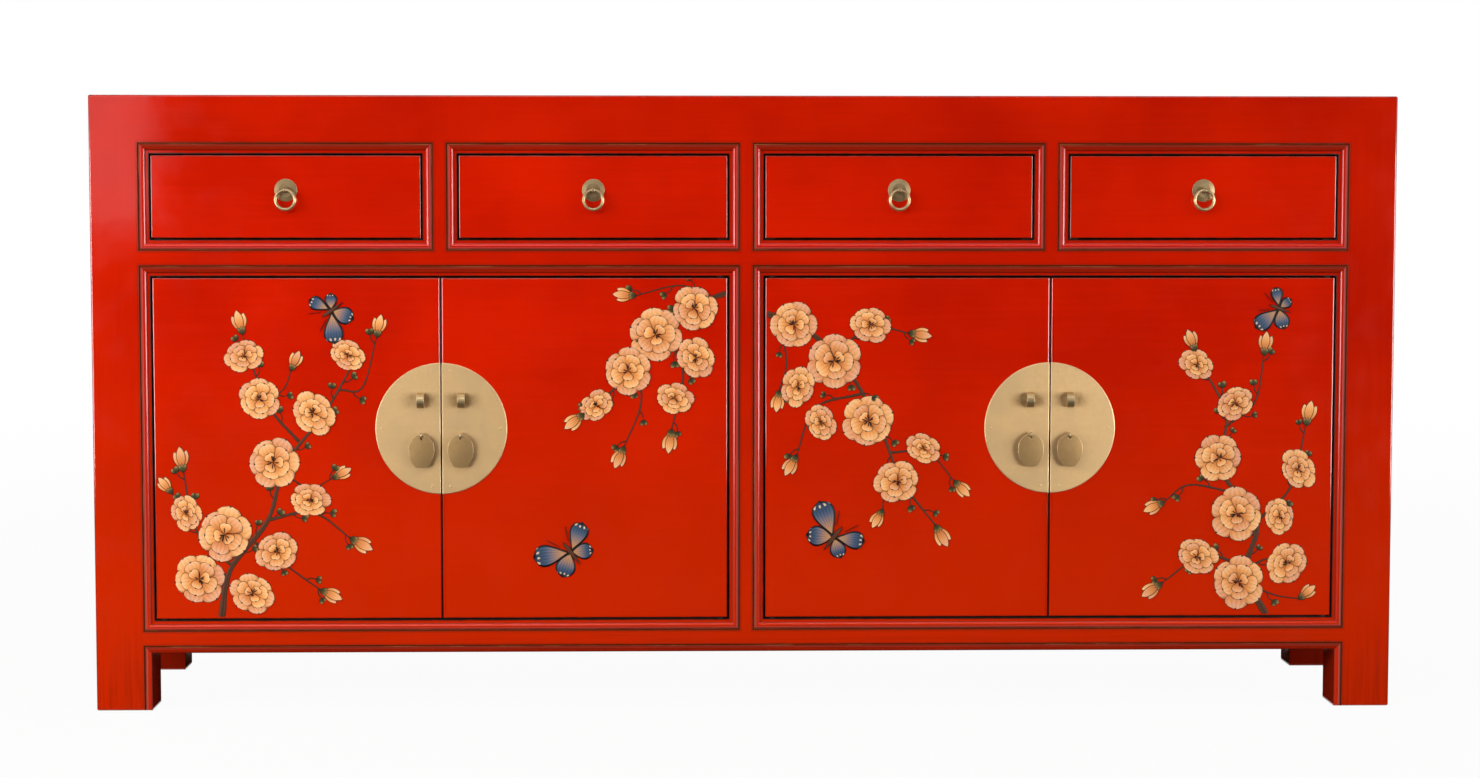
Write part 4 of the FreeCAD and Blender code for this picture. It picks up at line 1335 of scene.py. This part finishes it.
@dataclass
class PaintedPair:
    """The painted sprays on one pair of doors."""

    first_door: int
    boughs: list[Bough]
    flowers: list[Flower]
    buds: list[Bud]
    flyers: list[Flyer]
    edge: float = 2.6
    petal_rings: tuple[tuple[int, float, float, float], ...] = (
        (6, 0.18, 0.82, 0.44), (5, 0.08, 0.64, 0.35), (3, 0.0, 0.42, 0.23),
    )
    stamens: int = 9
    layer_step: float = 0.03
    ring_step: float = 0.18
    flower_layer: float = 0.45
    flower_step: float = 0.20
    stamen_rise: float = 0.65
    bud_layer: float = 0.40
    bud_step: float = 0.10
    twig_layer: float = 0.10
    twig_step: float = 0.04
    dark_dome: float = 0.08
    twig_length: float = 15.0
    twig_spacing: float = 36.0
    seed: int = 5
    petals: Strokes = field(default_factory=Strokes)
    cups: Strokes = field(default_factory=Strokes)
    darks: Strokes = field(default_factory=Strokes)
    wings: Strokes = field(default_factory=Strokes)

    def canvases(self) -> list[Canvas]:
        """Find the faces of both doors, a little inside their rounded edges.

        Returns:
            The left door's face and the right door's.
        """
        pin = FrameLines().pin
        boxes = [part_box(f"door_{self.first_door + side}_leaf") for side in (0, 1)]
        meeting = (boxes[0][1].x + boxes[1][0].x) / 2
        edge = self.edge * MM
        found = []
        for side, (low, high) in enumerate(boxes):
            foot, head = low.z + pin, high.z - pin
            found.append(
                Canvas(
                    self.first_door + side, meeting, foot, low.y,
                    (low.x + edge, foot + edge), (high.x - edge, head - edge),
                )
            )
        return found

    def open_flower(self, flower: Flower, order: int, chance: np.random.Generator) -> None:
        """Add an open flower: rings of petals, each turned between the petals of the one under it, and stamens.

        A ring is a number of petals with their start, length and half width as shares of the flower's radius.

        Args:
            flower: The flower.
            order: Its number, which sets the layer that it lies in.
            chance: Where chance values come from.
        """
        r, layer = flower.radius, self.flower_layer + self.flower_step * (order % 4)
        lean_turn = math.radians(flower.lean_turn)
        for ring, (count, start, length, width) in enumerate(self.petal_rings):
            turns = math.radians(flower.turn) + (np.arange(count) + 0.5 * ring) * 2 * np.pi / count
            turns += chance.uniform(-0.10, 0.10, count)
            grow = chance.uniform(0.88, 1.06, count)
            self.petals.add(
                flower.middle, turns, start * r, length * r * grow, width * r,
                layer + self.ring_step * ring + self.layer_step * np.arange(count),
                chance.uniform(0.2, 0.7, count) + 0.12 * ring, flower.lean, lean_turn,
                full=1.55, notch=0.07, blunt=0.60,
            )
        self.darks.add(
            flower.middle, chance.uniform(0.0, 2 * np.pi, self.stamens), 0.02 * r,
            r * chance.uniform(0.12, 0.26, self.stamens), 0.022 * r, layer + self.stamen_rise, 0.4,
            flower.lean, lean_turn, full=1.8, notch=0.0, blunt=0.5,
        )

    def closed_bud(self, bud: Bud, order: int, chance: np.random.Generator) -> None:
        """Add a bud: two side petals behind a middle one, in a cup of three green scales.

        Args:
            bud: The bud.
            order: Its number, which sets the layer that it lies in.
            chance: Where chance values come from.
        """
        turn, layer = math.radians(bud.turn), self.bud_layer + self.bud_step * (order % 3)
        self.petals.add(
            bud.foot, turn + np.array([-0.30, 0.30, 0.0]), 0.06 * bud.length, bud.length * np.array([0.86, 0.84, 1.0]),
            bud.length * np.array([0.17, 0.17, 0.20]), layer + np.array([0.0, 0.05, 0.3]),
            chance.uniform(0.35, 0.8, 3), full=1.15, notch=0.0, blunt=0.8,
        )
        self.cups.add(
            bud.foot, turn + np.array([-0.5, 0.5, 0.0]), -0.08 * bud.length, 0.42 * bud.length,
            0.10 * bud.length, layer + 0.4, chance.uniform(0.2, 0.8, 3), full=1.0, notch=0.0, blunt=0.9,
        )

    def knobs(self, twig: Bough, chance: np.random.Generator) -> None:
        """Add two small round buds at the end of a short twig.

        Args:
            twig: The twig.
            chance: Where chance values come from.
        """
        (x0, z0), (x1, z1) = twig.through[-2:]
        turn = math.atan2(z1 - z0, x1 - x0) + np.array([0.55, -0.45])
        size = chance.uniform(7.5, 11.0, 2)
        self.cups.add(
            twig.through[-1], turn, -0.5, size, 0.38 * size, self.bud_layer + self.bud_step * np.arange(2),
            chance.uniform(0.1, 0.9, 2), full=0.95, notch=0.0, blunt=0.6,
        )

    def butterfly(self, flyer: Flyer) -> None:
        """Add a butterfly: a hind and a fore wing on each side, a slim body and two feelers.

        Args:
            flyer: The butterfly.
        """
        middle, turn, span = flyer.middle, math.radians(flyer.heading), flyer.span
        sides = np.array([1.0, -1.0])
        wing = span * np.array([1.0, flyer.fold])
        hind = {"full": 1.35, "notch": 0.10, "blunt": 0.62}
        fore = {"full": 1.9, "notch": 0.04, "blunt": 0.55}
        body = {"full": 1.3, "notch": 0.0, "blunt": 0.7}
        feeler = {"full": 1.4, "notch": 0.0, "blunt": 0.4}
        self.wings.add(middle, turn + 2.15 * sides, 1.0, 0.70 * wing, 0.27 * wing, 0.6, 0.45, **hind)
        self.wings.add(middle, turn + 1.05 * sides, 1.0, wing, 0.30 * wing, 1.0, 0.6, **fore)
        self.darks.add(middle, turn, -0.42 * span, 0.78 * span, 0.055 * span, 1.8, 0.6, **body)
        self.darks.add(middle, turn + 0.45 * sides, 0.30 * span, 0.42 * span, 0.35, 1.5, 0.3, **feeler)

    def build(self, finishes: Finishes) -> None:
        """Build the sprays on both doors.

        Args:
            finishes: The sideboard's materials.
        """
        chance = np.random.default_rng(self.seed + self.first_door)
        for order, flower in enumerate(self.flowers):
            self.open_flower(flower, order, chance)
        for order, bud in enumerate(self.buds):
            self.closed_bud(bud, order, chance)
        for flyer in self.flyers:
            self.butterfly(flyer)
        twigs = [twig for bough in self.boughs for twig in bough.side_twigs(self.twig_spacing, self.twig_length)]
        for twig in twigs:
            self.knobs(twig, chance)
        for canvas in self.canvases():
            self.paint(canvas, [*self.boughs, *twigs], finishes)

    def paint(self, canvas: Canvas, boughs: list[Bough], finishes: Finishes) -> None:
        """Lay every kind of paint on one door, each as a piece of its own.

        Args:
            canvas: The door.
            boughs: The branches and twigs of the pair.
            finishes: The sideboard's materials.
        """
        body = f"door_{canvas.door}"
        twigs = Sheets()
        for order, bough in enumerate(boughs):
            bough.lay(twigs, canvas, self.twig_layer + self.twig_step * (order % 3))
        self.darks.lay(twigs, canvas, self.dark_dome)
        twigs.piece(f"{body}_painted_twigs", finishes["twig"], body)
        for kind, strokes in (("petal", self.petals), ("bud_cup", self.cups), ("wing", self.wings)):
            sheets = Sheets()
            strokes.lay(sheets, canvas)
            if sheets.count:
                sheets.piece(f"{body}_painted_{kind}s", finishes[kind], body)


def left_sprays() -> PaintedPair:
    """Lay out the left pair: a spray rising at the left and one hanging at the right.

    Returns:
        The painted pair.
    """
    return PaintedPair(
        1,
        [
            Bough(((-306, 0), (-292, 70), (-240, 138), (-216, 214), (-162, 284), (-122, 352)), 9.0, 2.6),
            Bough(((-290, 74), (-338, 122), (-356, 206)), 4.5, 2.0),
            Bough(((-240, 138), (-178, 148), (-126, 112)), 4.5, 2.0),
            Bough(((-196, 246), (-240, 300), (-272, 392)), 4.5, 2.0),
            Bough(((-140, 318), (-108, 322), (-88, 392)), 3.0, 1.6),
            Bough(((-262, 110), (-196, 60), (-168, 40)), 3.5, 1.6),
            Bough(((396, 452), (340, 432), (288, 386), (250, 330), (196, 284)), 7.0, 2.2),
            Bough(((306, 402), (334, 342), (318, 262)), 4.0, 1.8),
            Bough(((268, 356), (276, 300), (252, 238)), 3.5, 1.6),
            Bough(((372, 446), (330, 462), (268, 448)), 3.0, 1.6),
            Bough(((-346, 152), (-362, 160), (-372, 176)), 2.4, 1.5),
            Bough(((-214, 200), (-182, 182), (-150, 196)), 2.8, 1.5),
            Bough(((-238, 306), (-216, 320), (-206, 346)), 2.6, 1.5),
        ],
        [
            Flower((-336, 56), 37, 10), Flower((-262, 36), 33, 40, 0.85, 60), Flower((-300, 118), 40, 75),
            Flower((-228, 94), 33, 20, 0.85, 120), Flower((-352, 148), 28, 5, 0.75, 20), Flower((-232, 218), 37, 5),
            Flower((-182, 166), 30, 0, 0.78, 80), Flower((-176, 286), 34, 50, 0.85, 40), Flower((-250, 306), 31, 30),
            Flower((-270, 366), 29, 15, 0.8, 100), Flower((-128, 366), 28, 66, 0.75, 60),
            Flower((350, 430), 34, 12), Flower((296, 394), 39, 44), Flower((352, 362), 31, 70, 0.85, 30),
            Flower((258, 344), 35, 30), Flower((322, 306), 28, 9, 0.78, 75), Flower((214, 296), 27, 40, 0.75, 130),
        ],
        [
            Bud((-356, 206), 33, 98), Bud((-126, 112), 33, -28), Bud((-88, 392), 30, 78), Bud((-272, 396), 32, 105),
            Bud((-168, 40), 31, -24), Bud((-372, 176), 27, 130), Bud((-150, 196), 28, 28), Bud((196, 284), 32, 218),
            Bud((318, 262), 32, 262), Bud((252, 238), 31, 246), Bud((268, 448), 30, 176), Bud((-206, 346), 28, 66),
        ],
        [Flyer((-150, 428), 46, 215, 0.72), Flyer((178, 92), 52, 128, 0.85)],
    )


def right_sprays() -> PaintedPair:
    """Lay out the right pair: a spray hanging at the left and one rising at the right.

    Returns:
        The painted pair.
    """
    return PaintedPair(
        3,
        [
            Bough(((-396, 424), (-340, 402), (-282, 346), (-238, 270), (-206, 192), (-158, 128)), 8.0, 2.4),
            Bough(((-300, 366), (-250, 404), (-196, 396)), 4.0, 1.8),
            Bough(((-262, 312), (-326, 292), (-352, 226)), 4.0, 1.8),
            Bough(((-222, 230), (-170, 230), (-132, 190)), 3.5, 1.6),
            Bough(((-376, 416), (-366, 356), (-376, 316)), 3.0, 1.6),
            Bough(((306, 0), (276, 62), (290, 132), (240, 206), (246, 282), (208, 356)), 9.0, 2.4),
            Bough(((278, 70), (216, 84), (158, 46)), 4.5, 1.8),
            Bough(((290, 132), (338, 182), (358, 268)), 4.5, 1.8),
            Bough(((244, 264), (286, 300), (298, 366)), 3.5, 1.6),
            Bough(((262, 172), (196, 184), (160, 160)), 3.5, 1.6),
            Bough(((-210, 190), (-228, 174), (-232, 150)), 2.6, 1.5),
            Bough(((288, 40), (322, 28), (352, 24)), 2.8, 1.5),
            Bough(((276, 66), (306, 80), (334, 74)), 3.2, 1.8),
        ],
        [
            Flower((-356, 408), 35, 0), Flower((-300, 358), 40, 33), Flower((-250, 408), 30, 60, 0.85, 70),
            Flower((-350, 322), 30, 22, 0.8, 160), Flower((-252, 274), 38, 20), Flower((-318, 272), 28, 48, 0.78, 20),
            Flower((-212, 190), 34, 10, 0.88, 110), Flower((-176, 236), 27, 30, 0.75, 60),
            Flower((266, 48), 38, 25), Flower((334, 74), 33, 55, 0.85, 140), Flower((208, 84), 32, 5, 0.8, 60),
            Flower((262, 144), 39, 40), Flower((322, 140), 28, 20, 0.8, 10), Flower((348, 206), 31, 15, 0.8, 30),
            Flower((236, 222), 34, 62), Flower((258, 298), 29, 35, 0.8, 120), Flower((204, 352), 27, 8, 0.75, 60),
        ],
        [
            Bud((-158, 128), 33, 300), Bud((-196, 396), 31, 352), Bud((-352, 226), 31, 240), Bud((-132, 190), 29, 315),
            Bud((-376, 316), 29, 262), Bud((-232, 150), 28, 240), Bud((158, 46), 32, 214), Bud((358, 268), 33, 78),
            Bud((202, 372), 30, 112), Bud((298, 366), 31, 84), Bud((160, 160), 30, 205), Bud((352, 24), 28, 40),
        ],
        [Flyer((-300, 112), 54, 52, 0.8), Flyer((318, 430), 42, 160, 0.7)],
    )


@dataclass
class Carcase:
    """The frame, its panels and its inside."""

    level: tuple[str, ...] = ("top_front_rail", "top_rear_rail", "drawer_rail", "bottom_front_rail", "top_panel")
    upright: tuple[str, ...] = ("front_left_leg", "front_right_leg", "drawer_dividers", "door_mullion")
    rear: tuple[str, ...] = ("rear_left_leg", "rear_right_leg")
    deep: tuple[str, ...] = ("top_end_rails", "bottom_end_rails", "side_panels")
    inside_level: tuple[str, ...] = ("rear_bottom_rail", "rear_runner_rail", "floor_board", "shelves")
    back: tuple[str, ...] = ("back_panels",)
    inside_deep: tuple[str, ...] = (
        "top_battens", "drawer_runners", "drawer_guides", "centre_partition", "shelf_cleats",
    )

    def dress(self, finishes: Finishes) -> None:
        """Finish every piece of the carcase.

        Args:
            finishes: The sideboard's materials.
        """
        dress(self.level, finishes["lacquer_level"])
        dress(self.upright, finishes["lacquer_upright"])
        dress(self.rear, finishes["lacquer_rear_shaded"])
        dress(self.deep, finishes["lacquer_deep"])
        dress(self.inside_level, finishes["inside_level"])
        dress(self.back, finishes["back_boards"])
        dress(self.inside_deep, finishes["inside_deep"])


@dataclass
class Beads:
    """The round beads beside every opening, drawn smoother than the facets under them."""

    lines: FrameLines = field(default_factory=FrameLines)
    moulding: Moulding = field(default_factory=Moulding)
    proud: float = 0.06 * MM
    apron_foot: float = 1.5 * MM
    # painted shade: the lightness of the bottom, right, top and left strips, darkest on the upper strips
    tones: tuple[float, ...] = (1.0, 0.75, 0.25, 0.75)
    sheets: dict[str, Sheets] = field(default_factory=lambda: {"bright": Sheets(), "dull": Sheets()})

    def strips(self, side: Side, outline: Rectangle, with_ledge: bool, foot: float | None) -> None:
        """Add the four strips of bead round one opening, mitred at its corners.

        Strip k runs from corner k to corner k+1 of the outline grown by each distance of the bead's profile.

        Args:
            side: The side of the carcase.
            outline: The opening.
            with_ledge: Whether a ledge lies between bead and opening.
            foot: The height at which the upright strips end, or None where the bead goes all round.
        """
        grow, depth = self.moulding.bead_profile(with_ledge)
        signs = np.array([[-1.0, -1.0], [1.0, -1.0], [1.0, 1.0], [-1.0, 1.0]])[:, None, :]
        corners = np.array(outline.middle) + signs * (np.array(outline.half) + grow[None, :, None])
        if foot is not None:
            corners[:, :, 1] = np.maximum(corners[:, :, 1], foot)
        flat = np.stack([corners, np.roll(corners, -1, axis=0)], axis=1)
        sink = np.broadcast_to(np.maximum(depth - self.proud, 0.0), flat.shape[:3])
        last = CAD_BOX[1].x
        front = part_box("top_front_rail")[0].y
        places = {
            Side.FRONT: np.stack([flat[..., 0], front + sink, flat[..., 1]], axis=-1),
            Side.RIGHT: np.stack([last - sink, flat[..., 0], flat[..., 1]], axis=-1),
            Side.LEFT: np.stack([sink - last, flat[..., 0], flat[..., 1]], axis=-1)[:, :, ::-1],
        }
        span = np.linspace(0.0, 1.0, len(grow))
        span = np.broadcast_to(span[::-1] if side is Side.LEFT else span, flat.shape[:3])
        tone = np.broadcast_to(np.array(self.tones)[:, None, None], flat.shape[:3])
        bright = [1, 3] if foot is not None else [0, 1, 3]
        for kind, keep in (("bright", bright), ("dull", [2])):
            self.sheets[kind].add(places[side][keep], tone=tone[keep], across=span[keep])

    def build(self, finishes: Finishes) -> None:
        """Build the beads of the front and of both ends.

        Args:
            finishes: The sideboard's materials.
        """
        for outline in (*self.lines.drawer_openings(), self.lines.door_opening()):
            self.strips(Side.FRONT, outline, True, None)
            across, rise = outline.middle
            self.strips(Side.FRONT, Rectangle((-across, rise), outline.half), True, None)
        self.strips(Side.FRONT, self.lines.front_apron(), False, self.apron_foot)
        for side in (Side.LEFT, Side.RIGHT):
            panel, apron = self.lines.end_openings()
            self.strips(side, panel, False, None)
            self.strips(side, apron, False, self.apron_foot)
        self.sheets["bright"].piece("bright_beads", finishes["lacquer_bead"], "carcase")
        self.sheets["dull"].piece("upper_beads", finishes["lacquer_upper_bead"], "carcase")


@dataclass
class Drawers:
    """The row of drawers with their rings."""

    count: int = 4
    finish_of: dict[str, str] = field(default_factory=lambda: {
        "front": "lacquer_leaf", "box": "drawer_deep", "ring_mount": "mount_brass", "ring": "brass",
    })

    def dress(self, finishes: Finishes) -> None:
        """Finish every piece of the drawers."""
        for kind, finish in self.finish_of.items():
            dress([f"drawer_{k + 1}_{kind}" for k in range(self.count)], finishes[finish])


@dataclass
class Doors:
    """The doors with their plates, staples, pulls and nails."""

    count: int = 4
    finish_of: dict[str, str] = field(default_factory=lambda: {
        "leaf": "lacquer_leaf", "battens": "inside_level", "lock_plate": "plate_brass", "staples": "brass",
        "pull": "aged_brass",
    })
    nail_circle: float = 81.0
    nail_turns: tuple[float, ...] = (-82.0, 0.0, 82.0)
    nail_radius: float = 1.7
    nail_height: float = 0.22
    nail_steps: tuple[int, int] = (6, 17)
    lip_depth: float = 4.0
    lip_gap: float = 0.5

    def dress(self, finishes: Finishes) -> None:
        """Finish every piece of the doors."""
        for kind, finish in self.finish_of.items():
            dress([f"door_{k + 1}_{kind}" for k in range(self.count)], finishes[finish])

    def lips(self, finishes: Finishes) -> None:
        """Build the thin lip on the inner edge of each left door, set back in the gap of its pair.

        The lip is a box without its hidden side: out, along, back, with both ends drawn together in the middle.

        Args:
            finishes: The sideboard's materials.
        """
        pin = FrameLines().pin
        for k in range(0, self.count, 2):
            name = f"door_{k + 1}"
            low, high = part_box(f"{name}_leaf")
            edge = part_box(f"door_{k + 2}_leaf")[0].x - self.lip_gap * MM
            front, back = low.y + self.lip_depth * MM, high.y - self.lip_depth * MM
            x = np.array([high.x, edge, edge, high.x])[:, None] * np.ones(4)
            depth = np.array([front, front, back, back])[:, None]
            y = np.where(np.array([1, 0, 0, 1]), (front + back) / 2, depth)
            z = np.array([low.z + pin, low.z + pin, high.z - pin, high.z - pin]) * np.ones_like(y)
            sheets = Sheets()
            sheets.add(np.stack([x, y, z], axis=-1)[None])
            sheets.piece(f"{name}_lip", finishes["inside_level"], name)

    def nails(self, finishes: Finishes) -> None:
        """Build the round nail heads on each plate: a radius times sin(pi u / 2), a height times cos(pi u / 2).

        Args:
            finishes: The sideboard's materials.
        """
        u = np.linspace(0.0, 1.0, self.nail_steps[0])[:, None]
        turn = np.linspace(0.0, -2 * np.pi, self.nail_steps[1])[None, :]
        out, rise = np.sin(np.pi / 2 * u), np.cos(np.pi / 2 * u) * np.ones_like(turn)
        for k in range(self.count):
            name = f"door_{k + 1}"
            low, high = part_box(f"{name}_lock_plate")
            centre, outwards = (low.x, 1) if k % 2 else (high.x, -1)
            sheets = Sheets()
            for angle in np.radians(self.nail_turns):
                x = centre + outwards * self.nail_circle * math.cos(angle) * MM
                z = (low.z + high.z) / 2 + self.nail_circle * math.sin(angle) * MM
                grid = np.stack(
                    [
                        x + self.nail_radius * MM * out * np.cos(turn),
                        low.y - self.nail_height * MM * rise,
                        z + self.nail_radius * MM * out * np.sin(turn),
                    ],
                    axis=-1,
                )
                sheets.add(grid[None])
            piece = sheets.piece(f"{name}_plate_nails", finishes["plate_brass"], name)


class Reach(Enum):
    """What a lamp lights: whether matt surfaces, and whether glossy ones."""

    ALL = (True, True)
    GLINT = (False, True)
    MATT = (True, False)


@dataclass(frozen=True)
class Softbox:
    """A rectangular studio lamp: its middle, where it points, its sides and its power."""

    name: str
    middle: Spot
    aim: Spot
    sides: Point
    watts: float
    reach: Reach = Reach.ALL

    def build(self) -> None:
        """Hang the lamp."""
        lamp = bpy.data.lights.new(self.name, "AREA")
        lamp.shape = "RECTANGLE"
        lamp.size, lamp.size_y = self.sides
        lamp.energy = self.watts
        holder = bpy.data.objects.new(self.name, lamp)
        holder.location = self.middle
        way = Vector(self.aim) - Vector(self.middle)
        holder.rotation_euler = way.to_track_quat("-Z", "Y").to_euler()
        holder.visible_camera = False
        holder.visible_diffuse, holder.visible_glossy = self.reach.value
        bpy.context.scene.collection.objects.link(holder)


@dataclass
class Studio:
    """Floor, lamps, background and camera."""

    floor_half: float = 14.0
    floor_grey: float = 0.62
    floor_white: float = 0.955
    white_from: float = 6.0
    ambient: float = 0.30
    card_lift: float = 2 * MM
    card_half: float = 3.8
    card_front: float = 0.30
    card_back: float = -4.7
    card_top: float = 3.70
    camera_place: Spot = (-0.10916, -4.18293, 0.72952)
    camera_yaw: float = -1.4429
    camera_pitch: float = -4.0700
    camera_roll: float = -0.0305
    lens: float = 70.27
    sensor: float = 36.0
    lamps: tuple[Softbox, ...] = (
        Softbox("key_softbox", (-1.2, -3.9, 3.0), (-0.1, -0.2, 0.45), (1.8, 1.8), 25.0),
        Softbox("top_softbox", (0.0, -0.4, 3.4), (0.0, 0.0, 0.4), (2.6, 1.4), 26.0),
        Softbox("haze_softbox", (-2.06, -3.7, 1.41), (-2.06, 0.0, 1.41), (1.24, 1.58), 7.5),
        Softbox("left_glint", (-2.7, -2.6, 0.42), (-0.2, -0.2, 0.45), (2.3, 0.8), 80.0, Reach.GLINT),
        Softbox("right_glint", (2.7, -2.2, 0.42), (-0.2, -0.2, 0.45), (2.5, 0.8), 100.0, Reach.GLINT),
        Softbox("top_glint", (0.0, -2.6, 2.9), (0.0, -0.2, 0.5), (3.4, 0.7), 32.0, Reach.GLINT),
        Softbox("left_softbox", (-3.0, -2.4, 1.60), (-0.2, -0.2, 0.50), (2.5, 1.6), 80.0, Reach.MATT),
        Softbox("right_softbox", (3.1, -2.1, 1.60), (0.2, -0.2, 0.50), (2.4, 1.6), 37.0, Reach.MATT),
    )

    def sheet(self, name: str, points: list[Spot], faces: list[tuple[int, ...]]) -> bpy.types.Object:
        """Make a studio sheet that isn't part of the object.

        Args:
            name: The sheet's name.
            points: Its corners and folds.
            faces: Its flat parts, by the numbers of their points.

        Returns:
            The sheet.
        """
        mesh = bpy.data.meshes.new(name)
        mesh.from_pydata(points, [], faces)
        sheet = bpy.data.objects.new(name, mesh)
        bpy.context.scene.collection.objects.link(sheet)
        return sheet

    def backed(self, graph: Graph) -> Socket:
        """Find the rays that see the white background: those from the camera, from a mirror or through glass.

        Args:
            graph: The graph of a material or of the world.

        Returns:
            1 on such rays, 0 on the others.
        """
        path = graph.add("ShaderNodeLightPath")
        seen = graph.math("MAXIMUM", path.outputs["Is Camera Ray"], path.outputs["Is Glossy Ray"])
        return graph.math("MAXIMUM", seen, path.outputs["Is Transmission Ray"])

    def floor(self) -> None:
        """Lay the floor: white where it is seen, with a soft shadow near the object."""
        h = self.floor_half
        floor = self.sheet("floor", [(-h, -h, 0), (h, -h, 0), (h, h, 0), (-h, h, 0)], [(0, 1, 2, 3)])
        material, g, _ = new_material("floor")
        g.tree.nodes.clear()
        lit = g.add("ShaderNodeBsdfDiffuse", {"Color": (self.floor_grey,) * 3})
        glow = g.add("ShaderNodeEmission", {"Color": (1.0, 1.0, 1.0), "Strength": 1.0})
        far = g.add("ShaderNodeVectorMath", {0: g.place()}, operation="LENGTH").outputs["Value"]
        rest = g.math("MULTIPLY", g.fade(far, self.white_from, 0.1 * self.white_from), 1 - self.floor_white)
        white = g.math("ADD", rest, self.floor_white)
        share = g.math("MULTIPLY", white, self.backed(g))
        mixed = g.add("ShaderNodeMixShader", {0: share, 1: lit.outputs[0], 2: glow.outputs[0]})
        g.add("ShaderNodeOutputMaterial", {0: mixed.outputs[0]})
        floor.data.materials.append(material)

    def card(self) -> None:
        """Fold a dark card round the front, under the object, behind the camera and over the lamps.

        It is seen only in the object's gloss.
        """
        h, front, back, top = self.card_half, self.card_front, self.card_back, self.card_top
        folds = [(front, self.card_lift), (back, self.card_lift), (back, top), (front, top)]
        points = [(side, y, z) for y, z in folds for side in (-h, h)]
        card = self.sheet("dark_card", points, [(k, k + 1, k + 3, k + 2) for k in (0, 2, 4)])
        material, _, shader = new_material("dark_card")
        shader.inputs["Base Color"].default_value = (0.0, 0.0, 0.0, 1.0)
        shader.inputs["Roughness"].default_value = 1.0
        shader.inputs["Specular IOR Level"].default_value = 0.0
        card.data.materials.append(material)
        card.visible_camera = False
        card.visible_diffuse = False
        card.visible_transmission = False
        card.visible_shadow = False

    def world(self) -> None:
        """Fill the room with soft light, on a white background."""
        world = bpy.data.worlds.new("studio")
        world.use_nodes = True
        bpy.context.scene.world = world
        g = Graph(world.node_tree)
        g.tree.nodes.clear()
        soft = g.add("ShaderNodeBackground", {"Color": (1.0, 1.0, 1.0), "Strength": self.ambient})
        white = g.add("ShaderNodeBackground", {"Color": (1.0, 1.0, 1.0), "Strength": 1.0})
        mixed = g.add("ShaderNodeMixShader", {0: self.backed(g), 1: soft.outputs[0], 2: white.outputs[0]})
        g.add("ShaderNodeOutputWorld", {0: mixed.outputs[0]})

    def camera(self) -> None:
        """Stand the camera where the photograph was taken: turned by its yaw, then its pitch, then its roll."""
        lens = bpy.data.cameras.new("camera")
        lens.sensor_fit = "HORIZONTAL"
        lens.sensor_width = self.sensor
        lens.lens = self.lens
        camera = bpy.data.objects.new("camera", lens)
        bpy.context.scene.collection.objects.link(camera)
        turn = (
            Matrix.Rotation(math.radians(self.camera_yaw), 3, "Z")
            @ Matrix.Rotation(math.radians(self.camera_pitch), 3, "X")
            @ Matrix.Rotation(math.radians(self.camera_roll), 3, "Y")
        )
        stand = Matrix((turn.col[0], turn.col[2], -turn.col[1])).transposed().to_4x4()
        camera.matrix_world = Matrix.Translation(self.camera_place) @ stand
        bpy.context.scene.camera = camera

    def build(self) -> None:
        """Set up the whole studio."""
        bpy.context.scene.view_settings.view_transform = "Standard"
        self.floor()
        self.card()
        self.world()
        self.camera()
        for lamp in self.lamps:
            lamp.build()


def main() -> None:
    """Build the looks of the sideboard, piece by piece."""
    logging.basicConfig(level=logging.INFO, format="%(name)s: %(message)s")
    finishes = Finishes(Effects()).build()
    Carcase().dress(finishes)
    Beads().build(finishes)
    Drawers().dress(finishes)
    doors = Doors()
    doors.dress(finishes)
    doors.nails(finishes)
    doors.lips(finishes)
    for sprays in (left_sprays(), right_sprays()):
        sprays.build(finishes)
    Studio().build()


if __name__ == "__main__":
    main()
